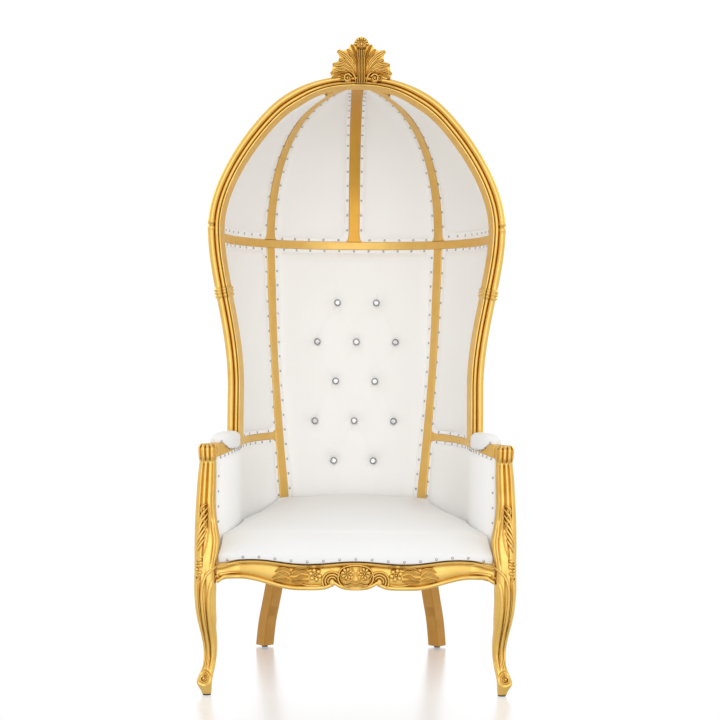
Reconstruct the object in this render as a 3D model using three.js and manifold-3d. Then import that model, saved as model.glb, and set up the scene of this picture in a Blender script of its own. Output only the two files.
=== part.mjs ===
// Canopy throne: a carved and gilded frame that carries an upholstered hood over a padded seat.
// Millimetres, +Z up. The chair faces -Y, and its origin is under the middle of its bounding box.
import * as THREE from 'three';
import { mergeVertices } from 'three/addons/utils/BufferGeometryUtils.js';
import Module from 'manifold-3d';

const wasm = await Module();
wasm.setup();

const { lerp, smoothstep } = THREE.MathUtils;

// ---------------------------------------------------------------- driving dimensions

const GAP = 0.3; // between pieces that touch

// The wall of hood, back and arms follows one plan curve, a superellipse that starts at the arch.
const ARCH_FRONT_Y = 187;
const ARCH_BACK_Y = 232;
const PLAN_Y = 207;
const PLAN_POWER = 2.4;
const WALL_FRONT_Y = ARCH_BACK_Y + GAP;

const SEAT_LINE_Z = 470; // where the back starts to rake
const WAIST_Z = 800; // where the side walls start to flare
const BAND_Z = 1210; // middle of the band round the hood
const BAND_HEIGHT = 24;
const BAND_TOP_Z = BAND_Z + BAND_HEIGHT / 2;
const BAND_FOOT_Z = BAND_Z - BAND_HEIGHT / 2;
const WALL_HALF_WIDTH = 316;
const HOOD_HALF_WIDTH = 374;
const WALL_DEPTH = 430;
const HOOD_DEPTH = 548;
const HOOD_RISE = 408;
const HOOD_SIDE_POWER = 1.8;
const HOOD_BACK_POWER = 2.8;
const SHELL_THICKNESS = 24;
const CLEARANCE = 60; // by which cutting blocks run past the shell
const WOOD_PROUD = 2; // how far ribs, bands and posts stand out of the upholstery

// Ribs, posts and rear legs.
const RIB_WIDTH = 32;
const RIB_TOP_X = 45;
const RIB_TOP_Y = 240;
const POST_WIDTH = 35;
const POST_X_AT_SEAT = 202;
const POST_X_AT_BAND = 250;
const POST_BOW = 6; // how far the posts bow outward halfway up
const REAR_LEG_WIDTH = 40;
const REAR_GLIDE_HEIGHT = 6;
const FRONT_GLIDE_HEIGHT = 4;
const REAR_FOOT = [260, 719];
const LEG_TOP_Z = 350; // the rear leg slims into the post between here and the seat line
const WOOD_CORNER = 3; // chamfer along the posts

// Arch.
const ARCH_WIDTH = 44;
const STILE_WIDTH = 43;
const COLLAR_Z = 1052;
const COLLAR_DROP = 12;
const CROWN_WIDTH = 34;
const ARCH_REVEAL = 45; // depth of the section's plain back face

// Arms and rails.
const ARM_TOP_Z = 655;
const ARM_RAIL_HEIGHT = 23;
const ARM_DIP = 14; // drop of the joint under the arm rail at the arm post
const ARM_DIP_END = 0.215; // share of the arm's run over which it drops
const RAIL_PROUD = 4; // how far the arm rail stands out of the arm's upholstery
const ARM_WALL_THICKNESS = 30;
const ARM_FRONT_Y = 45;
const ARM_FLARE = 51;
const ARM_FLARE_POWER = 2;
const RAIL_TOP_Z = 350;
const RAIL_BOTTOM_Z = 290;
const FRONT_RAIL_HALF = 361;
const RAIL_THICKNESS = 32;
const SIDE_RAIL_FRONT_Y = 24;

// Upholstery.
const SEAT_LIFT = 3; // of the pad's underside over the front rail
const TUFT_DEPTH = 11;
const BUTTON_COLUMN = 59;
const BUTTON_ROW = 117.5;
const FIRST_BUTTON_Z = 567;
const BUTTON_ROWS = 5;
const LAST_BUTTON_Z = FIRST_BUTTON_Z + (BUTTON_ROWS - 1) * BUTTON_ROW;
const BUTTON_RADIUS = 10;
const BUTTON_DRIFT = [2, 10]; // the rows' offset to the right, at the bottom and at the top
const BUTTON_DIMPLE = 30;
const SEAT_HALF = 352;
const ARM_PAD_RISE = 28;
const ARM_PAD_LAP = 20;

// ---------------------------------------------------------------- materials

const gilded = () => new THREE.MeshStandardMaterial({
  color: 0xd19a26, roughness: 0.36, metalness: 0.8,
});
const leatherette = () => new THREE.MeshStandardMaterial({
  color: 0xf0ece6, roughness: 0.42, metalness: 0,
});
const crystal = () => new THREE.MeshStandardMaterial({
  color: 0xe6ecf2, roughness: 0.06, metalness: 0.2,
});
const blackPlastic = () => new THREE.MeshStandardMaterial({
  color: 0x1b1a19, roughness: 0.6, metalness: 0,
});

// ---------------------------------------------------------------- building closed bodies

function bodyFrom(points, triangles) {
  let volume = 0;
  for (const [a, b, c] of triangles) {
    volume += points[a].dot(points[b].clone().cross(points[c]));
  }
  const index = [];
  for (const [a, b, c] of triangles) {
    index.push(a, volume > 0 ? b : c, volume > 0 ? c : b);
  }
  const geometry = new THREE.BufferGeometry().setFromPoints(points);
  geometry.setIndex(index);
  return geometry;
}

// Triangles that close a flat ring of points.
function capTriangles(ring, first) {
  const u = ring[1].clone().sub(ring[0]).normalize();
  const normal = new THREE.Vector3();
  ring.forEach((p, i) => {
    const next = ring[(i + 1) % ring.length];
    normal.add(p.clone().sub(ring[0]).cross(next.clone().sub(ring[0])));
  });
  const v = normal.normalize().cross(u);
  const flat = ring.map((p) => new THREE.Vector2(p.dot(u), p.dot(v)));
  return THREE.ShapeUtils.triangulateShape(flat, []).map((t) => t.map((i) => first + i));
}

// A closed body through rings that all have the same number of points.
function loft(rings) {
  const count = rings[0].length;
  const triangles = [];
  for (let i = 0; i + 1 < rings.length; i += 1) {
    for (let j = 0; j < count; j += 1) {
      const a = i * count + j;
      const b = i * count + ((j + 1) % count);
      triangles.push([a, b, b + count], [a, b + count, a + count]);
    }
  }
  const last = (rings.length - 1) * count;
  for (const [a, b, c] of capTriangles(rings[0], 0)) triangles.push([a, c, b]);
  for (const [a, b, c] of capTriangles(rings.at(-1), last)) triangles.push([a, b, c]);
  return bodyFrom(rings.flat(), triangles);
}

// A closed wall: point(column, row, layer) gives its inner (0) and outer (1) face on a grid.
function wall(columns, rows, point) {
  const points = [];
  for (const layer of [0, 1]) {
    for (let j = 0; j <= rows; j += 1) {
      for (let i = 0; i <= columns; i += 1) points.push(point(i / columns, j / rows, layer));
    }
  }
  const half = (columns + 1) * (rows + 1);
  const at = (i, j) => j * (columns + 1) + i;
  const triangles = [];
  const quad = (a, b, c, d) => triangles.push([a, b, c], [a, c, d]);
  for (let j = 0; j < rows; j += 1) {
    for (let i = 0; i < columns; i += 1) {
      const corners = [at(i, j), at(i + 1, j), at(i + 1, j + 1), at(i, j + 1)];
      quad(...corners);
      quad(...corners.map((k) => k + half).reverse());
    }
  }
  const border = (a, b) => quad(b, a, a + half, b + half);
  for (let i = 0; i < columns; i += 1) {
    border(at(i, 0), at(i + 1, 0));
    border(at(i + 1, rows), at(i, rows));
  }
  for (let j = 0; j < rows; j += 1) {
    border(at(columns, j), at(columns, j + 1));
    border(at(0, j + 1), at(0, j));
  }
  return bodyFrom(points, triangles);
}

function toSolid(geometry) {
  const bare = geometry.clone();
  bare.deleteAttribute('normal');
  bare.deleteAttribute('uv');
  const merged = mergeVertices(bare);
  return new wasm.Manifold(new wasm.Mesh({
    numProp: 3,
    vertProperties: new Float32Array(merged.attributes.position.array),
    triVerts: new Uint32Array(merged.index.array),
  }));
}

function toGeometry(solid) {
  const { vertProperties, triVerts } = solid.getMesh();
  const geometry = new THREE.BufferGeometry();
  geometry.setAttribute('position', new THREE.Float32BufferAttribute(vertProperties, 3));
  geometry.setIndex(Array.from(triVerts));
  return geometry;
}

const joined = (geometries) => toGeometry(
  geometries.map(toSolid).reduce((whole, next) => whole.add(next)),
);

function mirrored(geometry) {
  const flipped = geometry.clone().scale(-1, 1, 1);
  const index = Array.from(flipped.index.array);
  for (let i = 0; i < index.length; i += 3) [index[i], index[i + 1]] = [index[i + 1], index[i]];
  flipped.setIndex(index);
  return flipped;
}

// A piece of a standard geometry, sized, turned about the axes and moved.
function shaped(geometry, scale, place, turn = [0, 0, 0]) {
  geometry.scale(...scale);
  geometry.rotateX(turn[0]).rotateY(turn[1]).rotateZ(turn[2]);
  return geometry.translate(...place);
}

// ---------------------------------------------------------------- the wall's form

function halfWidth(z) {
  if (z > BAND_Z) {
    const t = (z - BAND_Z) / HOOD_RISE;
    return HOOD_HALF_WIDTH * Math.sqrt(1 - t ** HOOD_SIDE_POWER);
  }
  return lerp(WALL_HALF_WIDTH, HOOD_HALF_WIDTH, smoothstep(z, WAIST_Z, BAND_Z));
}

function wallDepth(z) {
  if (z > BAND_Z) {
    const t = (z - BAND_Z) / HOOD_RISE;
    return HOOD_DEPTH * (1 - t ** HOOD_BACK_POWER) ** (1 / HOOD_BACK_POWER);
  }
  const rake = Math.max(0, (z - SEAT_LINE_Z) / (BAND_Z - SEAT_LINE_Z));
  return lerp(WALL_DEPTH, HOOD_DEPTH, 1 - (1 - rake) ** 1.2);
}

const bent = (value) => Math.sign(value) * Math.abs(value) ** (2 / PLAN_POWER);

// Angle 0 is the wall's right end at the arch, and a quarter turn is the middle of the back.
function wallPoint(z, angle, offset = 0) {
  return new THREE.Vector3(
    (halfWidth(z) + offset) * bent(Math.cos(angle)),
    PLAN_Y + (wallDepth(z) + offset) * bent(Math.sin(angle)),
    z,
  );
}

function angleAtX(z, x) {
  return Math.acos((x / halfWidth(z)) ** (PLAN_POWER / 2));
}

function angleAtY(z, y, offset = 0) {
  return Math.asin(((y - PLAN_Y) / (wallDepth(z) + offset)) ** (PLAN_POWER / 2));
}

function postX(z) {
  const up = Math.max(0, (z - SEAT_LINE_Z) / (BAND_Z - SEAT_LINE_Z));
  return lerp(POST_X_AT_SEAT, POST_X_AT_BAND, up) + POST_BOW * Math.sin(Math.PI * up);
}

// Width of post and rear leg: the leg is stouter than the post.
const postWidth = (z) => lerp(REAR_LEG_WIDTH, POST_WIDTH, smoothstep(z, LEG_TOP_Z, SEAT_LINE_Z));

// The wall's angle at the right post's middle.
const postAngle = (z) => angleAtX(z, postX(z));

// ---------------------------------------------------------------- hood shell, ribs and band

// A solid dome whose plan and profiles are the hood's, enlarged by offset.
function dome(offset) {
  const around = 28;
  const levels = 7;
  const points = [];
  const triangles = [];
  for (let j = 0; j < levels; j += 1) {
    const z = BAND_Z + HOOD_RISE * Math.sin((j / levels) * Math.PI * 0.5) ** 0.8;
    for (let i = 0; i < around; i += 1) {
      const point = wallPoint(z, (i / around) * 2 * Math.PI, offset);
      point.z += offset * ((z - BAND_Z) / HOOD_RISE);
      points.push(point);
    }
  }
  const pole = points.push(new THREE.Vector3(0, PLAN_Y, BAND_Z + HOOD_RISE + offset)) - 1;
  for (let i = 0; i < around; i += 1) {
    const next = (i + 1) % around;
    for (let j = 0; j + 1 < levels; j += 1) {
      const low = j * around;
      const high = low + around;
      triangles.push([low + i, low + next, high + next], [low + i, high + next, high + i]);
    }
    const top = (levels - 1) * around;
    triangles.push([top + i, top + next, pole]);
  }
  for (let i = 1; i + 1 < around; i += 1) triangles.push([0, i + 1, i]);
  return toSolid(bodyFrom(points, triangles));
}

// A standing block on a plan outline, over the band and through the dome.
function hoodBlock(plan) {
  const outline = new THREE.Shape(plan.map(([x, y]) => new THREE.Vector2(x, y)));
  const height = HOOD_RISE + CLEARANCE;
  const block = new THREE.ExtrudeGeometry(outline, { depth: height, bevelEnabled: false });
  return toSolid(block.translate(0, 0, BAND_TOP_Z + GAP));
}

function hoodPieces() {
  const shell = dome(SHELL_THICKNESS).subtract(dome(0));
  const woodShell = dome(SHELL_THICKNESS + WOOD_PROUD).subtract(dome(-WOOD_PROUD));
  const farY = PLAN_Y + HOOD_DEPTH + CLEARANCE;
  const bandSeatY = wallPoint(BAND_Z, angleAtX(BAND_Z, POST_X_AT_BAND)).y;
  const lean = (POST_X_AT_BAND - RIB_TOP_X) / (bandSeatY - RIB_TOP_Y);
  const across = Math.hypot(1, lean);
  const ribX = (y, offset) => RIB_TOP_X + (y - RIB_TOP_Y) * lean + offset * across;
  const half = RIB_WIDTH / 2;
  const strip = (low, high) => [
    [low(WALL_FRONT_Y), WALL_FRONT_Y], [high(WALL_FRONT_Y), WALL_FRONT_Y],
    [high(farY), farY], [low(farY), farY],
  ];
  const centreRib = strip(() => -half, () => half);
  const sideRib = strip((y) => ribX(y, -half), (y) => ribX(y, half));
  const back = strip(() => half + GAP, (y) => ribX(y, -half - GAP));
  const side = strip((y) => ribX(y, half + GAP), () => HOOD_HALF_WIDTH + CLEARANCE);
  return {
    centreRib: toGeometry(woodShell.intersect(hoodBlock(centreRib))),
    sideRib: toGeometry(woodShell.intersect(hoodBlock(sideRib))),
    backPanel: toGeometry(shell.intersect(hoodBlock(back))),
    sidePanel: toGeometry(shell.intersect(hoodBlock(side))),
  };
}

const faceOffset = (layer, proud = 0, thickness = SHELL_THICKNESS) => (
  layer ? thickness + proud : -proud
);

function crossband() {
  return wall(24, 1, (s, t, layer) => {
    const z = BAND_Z + (t - 0.5) * BAND_HEIGHT;
    const offset = faceOffset(layer, WOOD_PROUD);
    const start = angleAtY(z, WALL_FRONT_Y, offset);
    return wallPoint(z, lerp(start, Math.PI - start, s), offset);
  });
}

// ---------------------------------------------------------------- walls under the band

function sidePanel() {
  const low = ARM_TOP_Z + GAP;
  const high = BAND_FOOT_Z - GAP;
  return wall(6, 5, (s, t, layer) => {
    const z = lerp(low, high, t);
    const offset = faceOffset(layer);
    return wallPoint(z, lerp(angleAtY(z, WALL_FRONT_Y, offset), postAngle(z), s), offset);
  });
}

// The rows of buttons step to the right going up.
function buttonDrift(z) {
  return lerp(...BUTTON_DRIFT, smoothstep(z, FIRST_BUTTON_Z, LAST_BUTTON_Z));
}

// Middle points of the crystal buttons, in diamond order over the inner back.
function buttonPlaces() {
  const places = [];
  for (let row = 0; row < BUTTON_ROWS; row += 1) {
    const columns = row % 2 ? [-2, 0, 2] : [-1, 1];
    const z = FIRST_BUTTON_Z + row * BUTTON_ROW;
    for (const column of columns) places.push([column * BUTTON_COLUMN + buttonDrift(z), z]);
  }
  return places;
}

// Y of the back's plain curve, or of its outer face at the given offset.
function backY(x, z, offset = 0) {
  const share = Math.min(1, Math.abs(x) / (halfWidth(z) + offset));
  return PLAN_Y + (wallDepth(z) + offset) * (1 - share ** PLAN_POWER) ** (1 / PLAN_POWER);
}

// How far the padding swells out of the back between its buttons.
function tufting(x, z, edgeX) {
  let swell = 1;
  for (const [buttonX, buttonZ] of buttonPlaces()) {
    const away = Math.hypot(x - buttonX, z - buttonZ) / BUTTON_DIMPLE;
    swell -= Math.exp(-(away ** 2));
  }
  const fade = smoothstep(edgeX - Math.abs(x), 0, 40) * smoothstep(BAND_Z - z, 20, 60);
  return TUFT_DEPTH * Math.max(0, swell) * fade;
}

function backPanel() {
  const steps = [0, 1, 2, 3, 4, 5].map((i) => (i * BUTTON_COLUMN) / 2);
  const rows = [RAIL_TOP_Z + GAP, 460];
  for (let z = FIRST_BUTTON_Z - BUTTON_ROW / 2; z < BAND_Z - 80; z += BUTTON_ROW / 2) rows.push(z);
  rows.push(BAND_FOOT_Z - GAP);
  const columns = 2 * steps.length;
  return wall(columns, rows.length - 1, (s, t, layer) => {
    const z = rows[Math.round(t * (rows.length - 1))];
    const edge = wallPoint(z, postAngle(z), faceOffset(layer));
    const column = Math.round(s * columns) - columns / 2;
    const rank = Math.abs(column);
    const widths = [...steps, edge.x];
    const drift = rank < steps.length ? buttonDrift(z) : 0;
    const x = Math.sign(column) * widths[rank] + drift;
    const y = layer ? backY(x, z, SHELL_THICKNESS) : backY(x, z) - tufting(x, z, edge.x);
    return new THREE.Vector3(x, y, z);
  });
}

const armFlare = (y) => (
  ARM_FLARE * ((PLAN_Y - y) / (PLAN_Y - ARM_FRONT_Y)) ** ARM_FLARE_POWER
);

// Arms and side rails run forward of the plan curve, flaring out to the arm posts.
function armPoint(z, s, offset, frontY) {
  const turn = 0.35;
  if (s >= turn) {
    return wallPoint(z, lerp(0, postAngle(z), (s - turn) / (1 - turn)), offset);
  }
  const y = lerp(frontY, PLAN_Y, s / turn);
  return new THREE.Vector3(halfWidth(z) + offset + armFlare(y), y, z);
}

function armWall(low, high, inner, outer, from, to, columns, rows, frontY = ARM_FRONT_Y) {
  const joint = ARM_TOP_Z - ARM_RAIL_HEIGHT;
  const dipped = (z, run) => (
    Math.abs(z - joint) < 1 ? z - ARM_DIP * Math.max(0, 1 - run / ARM_DIP_END) : z
  );
  return wall(columns, rows, (s, t, layer) => {
    const run = lerp(from, to, s);
    const z = lerp(dipped(low, run), dipped(high, run), t);
    return armPoint(z, run, layer ? outer : inner, frontY);
  });
}

// The share of armPoint's run at which the wall passes behind the arch.
const BEHIND_ARCH = 0.43;

// ---------------------------------------------------------------- posts and rear legs

function rearLegLine() {
  const points = [];
  for (const z of [BAND_FOOT_Z - GAP, 1090, 960, 830, 700, 580, SEAT_LINE_Z]) {
    points.push(wallPoint(z, angleAtX(z, postX(z)), SHELL_THICKNESS / 2));
  }
  const seat = points.at(-1);
  points.push(
    new THREE.Vector3(seat.x + 1, seat.y + 3, 360),
    new THREE.Vector3(seat.x + 7, seat.y + 19, 280),
    new THREE.Vector3(236, 640, 165),
    new THREE.Vector3(251, 687, 85),
    new THREE.Vector3(...REAR_FOOT, REAR_GLIDE_HEIGHT),
  );
  return points;
}

function rearPost(extraWidth = 0, extraDepth = 0) {
  const line = rearLegLine();
  const rings = line.map((centre) => {
    const z = Math.max(centre.z, SEAT_LINE_Z);
    const angle = postAngle(z);
    const along = wallPoint(z, angle + 0.01).sub(wallPoint(z, angle - 0.01)).setZ(0).normalize();
    const out = new THREE.Vector3(along.y, -along.x, 0);
    const width = postWidth(centre.z) / 2 + extraWidth;
    const postDepth = SHELL_THICKNESS / 2 + WOOD_PROUD;
    const slimming = smoothstep(centre.z, LEG_TOP_Z, SEAT_LINE_Z);
    const depth = extraDepth + lerp(REAR_LEG_WIDTH / 2, postDepth, slimming);
    const insetWidth = width - WOOD_CORNER;
    const insetDepth = depth - WOOD_CORNER;
    const outline = [
      [-width, -insetDepth], [-insetWidth, -depth], [insetWidth, -depth], [width, -insetDepth],
      [width, insetDepth], [insetWidth, depth], [-insetWidth, depth], [-width, insetDepth],
    ];
    return outline.map(([a, b]) => centre.clone().addScaledVector(along, a).addScaledVector(out, b));
  });
  return loft(rings);
}

// Cuts back whatever runs into a rear post, so that it ends beside it.
function clearOfPosts(geometry) {
  const cutter = rearPost(3 * GAP, 12);
  return toGeometry(toSolid(geometry).subtract(toSolid(cutter)).subtract(toSolid(mirrored(cutter))));
}

// ---------------------------------------------------------------- arch with its crest

// Outer edge of the right half of the arch, from the crown down to the arm.
function archOutline() {
  const at = (x, z) => new THREE.Vector2(x, z);
  const line = new THREE.CurvePath();
  line.add(new THREE.CubicBezierCurve(at(0, 1646), at(91, 1646), at(178, 1620), at(242, 1556)));
  line.add(new THREE.CubicBezierCurve(at(242, 1556), at(302, 1496), at(405, 1360), at(405, 1231)));
  line.add(new THREE.CubicBezierCurve(at(405, 1231), at(405, 1100), at(348, 960), at(348, 800)));
  line.add(new THREE.LineCurve(at(348, 800), at(349, ARM_TOP_Z + GAP)));
  return line;
}

// The moulding's section: across from the outer edge, and back from the front.
const ARCH_SECTION = [
  [0, 45], [0, 12], [4, 4], [10, 0], [16, 3], [19, 8], [23, 3], [28, 2], [31, 7], [34, 5], [44, 45],
];

function archRing(outline, along, width, swell = 0) {
  const outer = outline.getPointAt(along);
  const tangent = outline.getTangentAt(along);
  const inward = new THREE.Vector2(tangent.y, -tangent.x);
  return ARCH_SECTION.map(([across, back]) => {
    const share = across / ARCH_WIDTH;
    const reach = share * width + swell * (2 * share - 1);
    const point = outer.clone().addScaledVector(inward, reach);
    const y = back >= ARCH_REVEAL ? ARCH_BACK_Y : ARCH_FRONT_Y + back - swell;
    return new THREE.Vector3(point.x, y, point.y);
  });
}

// How far along the outline the height z is reached.
function archShareAt(outline, z) {
  let low = 0;
  let high = 1;
  for (let i = 0; i < 30; i += 1) {
    const middle = (low + high) / 2;
    if (outline.getPointAt(middle).y > z) low = middle;
    else high = middle;
  }
  return low;
}

function archStile() {
  const outline = archOutline();
  const start = archShareAt(outline, COLLAR_Z - COLLAR_DROP - GAP);
  const rings = [];
  const steps = 8;
  for (let i = 0; i <= steps; i += 1) {
    rings.push(archRing(outline, lerp(start, 1, i / steps), STILE_WIDTH));
  }
  return loft(rings);
}

function archCrown() {
  const outline = archOutline();
  const end = archShareAt(outline, COLLAR_Z + 14);
  const halfRings = [];
  const steps = 13;
  for (let i = 0; i <= steps; i += 1) {
    const share = (end * i) / steps;
    const width = lerp(CROWN_WIDTH, ARCH_WIDTH, smoothstep(i / steps, 0, 0.3));
    halfRings.push(archRing(outline, share, width));
  }
  const collarWidth = lerp(ARCH_WIDTH, STILE_WIDTH, 0.5);
  for (const [height, swell] of [[9, 3], [0, 4], [-8, 3], [-COLLAR_DROP, 0]]) {
    halfRings.push(archRing(outline, archShareAt(outline, COLLAR_Z + height), collarWidth, swell));
  }
  const across = (ring) => ring.map((p) => new THREE.Vector3(-p.x, p.y, p.z));
  return loft([...halfRings.slice(1).reverse().map(across), ...halfRings]);
}

// Half of the crest's fan: angle from upright in degrees, reach from the root, and 1 on a ridge.
const CREST_FAN = [
  [0, 116, 1], [6, 115, 0], [11, 104, 1], [14, 96, 0], [18, 100, 1], [22, 90, 0], [27, 95, 1],
  [33, 90, 0], [41, 102, 1], [46, 80, 0], [51, 83, 1], [55, 77, 0], [61, 89, 1], [70, 86, 0],
  [82, 86, 1], [92, 60, 0],
];
const CREST_ROOT_Z = 1634;
const CREST_X = 8; // the crest is set a little to the right of the arch's middle

// A fan of ridged fronds over a buttoned root, with a volute curled on each side.
function crest() {
  const half = CREST_FAN.length - 1;
  const rows = 2;
  const fan = wall(2 * half, rows, (s, t, layer) => {
    const column = Math.round(s * 2 * half) - half;
    const [degrees, reach, ridge] = CREST_FAN[Math.abs(column)];
    const angle = Math.sign(column) * THREE.MathUtils.degToRad(degrees);
    const share = lerp(0.12, 1, t);
    const radius = reach * share;
    const relief = 5 * ridge * Math.sin(Math.PI * Math.min(0.8, t) + 0.2);
    const front = ARCH_FRONT_Y + 4 - relief - 4 * share;
    const back = ARCH_FRONT_Y + lerp(28, 17, share);
    return new THREE.Vector3(
      radius * Math.sin(angle), layer ? back : front, CREST_ROOT_Z + radius * Math.cos(angle),
    );
  });
  const lobe = new THREE.SphereGeometry(1, 9, 6);
  const pieces = [fan, shaped(lobe, [19, 16, 13], [0, ARCH_FRONT_Y + 6, 1731], [Math.PI / 2, 0, 0])];
  for (const side of [-1, 1]) {
    const volute = new THREE.CylinderGeometry(12, 13, 20, 9);
    pieces.push(shaped(volute, [1, 1, 1], [side * 38, ARCH_FRONT_Y + 1, 1638]));
  }
  return pieces.map((piece) => piece.translate(CREST_X, 0, 0));
}

// ---------------------------------------------------------------- front legs with arm posts

// Down the right leg: height, outer and inner X, front and back Y, depth of the flutes.
const LEG_PROFILE = [
  [ARM_TOP_Z, 411, 369, -4, 40, 1.5],
  [645, 414.5, 366, -12, 44, 2.5],
  [618, 413, 366, -11, 44, 2.5],
  [612, 411, 367.5, -5, 42, 3],
  [565, 414.5, 366.5, -8, 40, 3],
  [512, 417, 367, -14, 36, 3],
  [460, 418.5, 363, -22, 30, 2],
  [408, 420, 356, -30, 24, 1],
  [356, 419, 362, -35, 22, 1],
  [290, 420, 363, -38, 19, 1.5],
  [199, 411, 362, -28, 17, 1.5],
  [147, 397.5, 361, -16, 19, 1],
  [105, 393.5, 361, -12, 20, 1],
  [69, 401, 366, -17, 17, 0.5],
  [43, 411, 371.5, -26, 14, 0],
  [20, 404, 373.5, -19, 12, 0],
  [FRONT_GLIDE_HEIGHT, 399, 373.5, -14, 11, 0],
];

function legRing([z, outer, inner, front, back, flute]) {
  const sides = 12;
  const ring = [];
  for (let i = 0; i < sides; i += 1) {
    const angle = (i / sides) * 2 * Math.PI;
    const cut = i % 2 ? flute : 0;
    const round = (value) => Math.sign(value) * Math.abs(value) ** 0.6;
    ring.push(new THREE.Vector3(
      (outer + inner) / 2 + ((outer - inner) / 2 - cut) * round(Math.cos(angle)),
      (front + back) / 2 + ((back - front) / 2 - cut) * round(Math.sin(angle)),
      z,
    ));
  }
  return ring;
}

function frontLeg() {
  const pieces = [loft(LEG_PROFILE.map(legRing))];
  // Feathers of an acanthus leaf climb the outer half of the knee.
  for (let i = 0; i < 5; i += 1) {
    const z = 378 + i * 29;
    const front = lerp(-31, -14, i / 4);
    const feather = new THREE.OctahedronGeometry(1);
    pieces.push(shaped(feather, [15, 7, 6], [407 - i * 1.5, front, z], [0, 0.9, 0]));
  }
  const scroll = new THREE.CylinderGeometry(11, 12, 16, 10);
  pieces.push(shaped(scroll, [1, 1, 1], [394, -19, 45]));
  const bud = new THREE.IcosahedronGeometry(11);
  pieces.push(shaped(bud, [0.9, 0.7, 1.4], [410, -31, 338]));
  return joined(pieces);
}

// ---------------------------------------------------------------- front rail

function railTop(x) {
  const out = Math.abs(x);
  const wave = 4 * Math.cos((Math.PI * x) / 130);
  return 349.5 + wave + 2.3 * smoothstep(out, 150, 260) - 8 * smoothstep(out, 300, FRONT_RAIL_HALF);
}

function railBottom(x) {
  const out = Math.abs(x);
  const cusp = 56;
  if (out < cusp) return 280 + 15 * (out / cusp) ** 3;
  const scallop = 16 * Math.exp((cusp - out) / 14);
  const rise = 27 * smoothstep(out, 150, 300);
  return 279 + scallop + rise - 11 * smoothstep(out, 340, FRONT_RAIL_HALF);
}

// The rail bows forward at its middle and again where it meets the knees.
function railFront(x) {
  const out = Math.abs(x) / FRONT_RAIL_HALF;
  return -45 + 37 * out ** 2.2 - 22 * smoothstep(out, 0.83, 1);
}

function railRing(x) {
  const front = railFront(x);
  const top = railTop(x);
  const bottom = railBottom(x);
  return [
    [RAIL_THICKNESS, top], [5, top], [0, top - 4], [1, top - 9], [6, top - 12],
    [6, bottom + 13], [1, bottom + 10], [0, bottom + 4], [5, bottom], [RAIL_THICKNESS, bottom],
  ].map(([back, z]) => new THREE.Vector3(x, front + back, z));
}

// A five-petalled flower, face forward: a low scalloped cone with a round heart.
function flower(x, z, radius) {
  const petals = new THREE.ConeGeometry(radius, 9, 10);
  const corners = petals.attributes.position;
  for (let i = 0; i < corners.count; i += 1) {
    const turn = Math.atan2(corners.getX(i), corners.getZ(i));
    const pull = 0.82 + 0.18 * Math.cos(5 * turn);
    corners.setXYZ(i, corners.getX(i) * pull, corners.getY(i), corners.getZ(i) * pull);
  }
  const face = railFront(x) + 2;
  const heart = new THREE.IcosahedronGeometry(1);
  return [
    shaped(petals, [1, 1, 1], [x, face, z], [Math.PI, 0, 0]),
    shaped(heart, [radius * 0.34, 5, radius * 0.34], [x, face - 2, z]),
  ];
}

function leaf(x, z, length, turn) {
  const scale = [length / 2, 5, length / 4];
  return shaped(new THREE.OctahedronGeometry(1), scale, [x, railFront(x) + 4, z], [0, turn, 0]);
}

// The C-scroll beside the medallion: a round cord of carving bent about a notch.
function railScroll(side) {
  const points = [];
  for (let i = 0; i <= 6; i += 1) {
    const angle = lerp(-0.35, 1.05, i / 6) * Math.PI;
    const x = side * (69 + 14 * Math.cos(angle));
    points.push(new THREE.Vector3(x, railFront(x) + 2, 308 + 15 * Math.sin(angle)));
  }
  const section = new THREE.Shape();
  section.absarc(0, 0, 4.5, 0, 2 * Math.PI);
  return new THREE.ExtrudeGeometry(section, {
    steps: 5, curveSegments: 4, extrudePath: new THREE.CatmullRomCurve3(points),
  });
}

// Leaves on the rail's right half: middle, length and slope.
const RAIL_LEAVES = [
  [84, 330, 24, -0.7],
  [140, 322, 34, 0.4],
  [150, 304, 36, -0.4],
  [176, 318, 34, 0.5],
  [196, 310, 38, -0.1],
];

function frontRail() {
  const rings = [];
  const cuts = 12;
  const xs = [];
  for (let i = 0; i <= cuts; i += 1) xs.push(FRONT_RAIL_HALF * (i / cuts));
  for (const x of [...xs.slice(1).reverse().map((v) => -v), ...xs]) rings.push(railRing(x));
  const pieces = [loft(rings)];
  const medallion = new THREE.CylinderGeometry(1, 1, 12, 16);
  pieces.push(shaped(medallion, [44, 1, 31], [0, railFront(0) + 7, 316]));
  for (const side of [-1, 1]) {
    pieces.push(...flower(side * 20, 321, 15));
    pieces.push(...flower(side * 106, 318, 17));
    pieces.push(railScroll(side));
    for (const [x, z, length, turn] of RAIL_LEAVES) {
      pieces.push(leaf(side * x, z, length, side * turn));
    }
  }
  return joined(pieces);
}

// ---------------------------------------------------------------- soft pieces of the seat

// Seat outline on the right: X and Y from the front corner to the rear post.
function seatSide(v) {
  const corner = 0.12;
  if (v < corner) return new THREE.Vector2(SEAT_HALF, lerp(-12, ARM_FRONT_Y, v / corner));
  const point = armPoint(420, (v - corner) / (1 - corner), -3, ARM_FRONT_Y);
  return new THREE.Vector2(Math.min(point.x, SEAT_HALF), point.y - 4);
}

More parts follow.
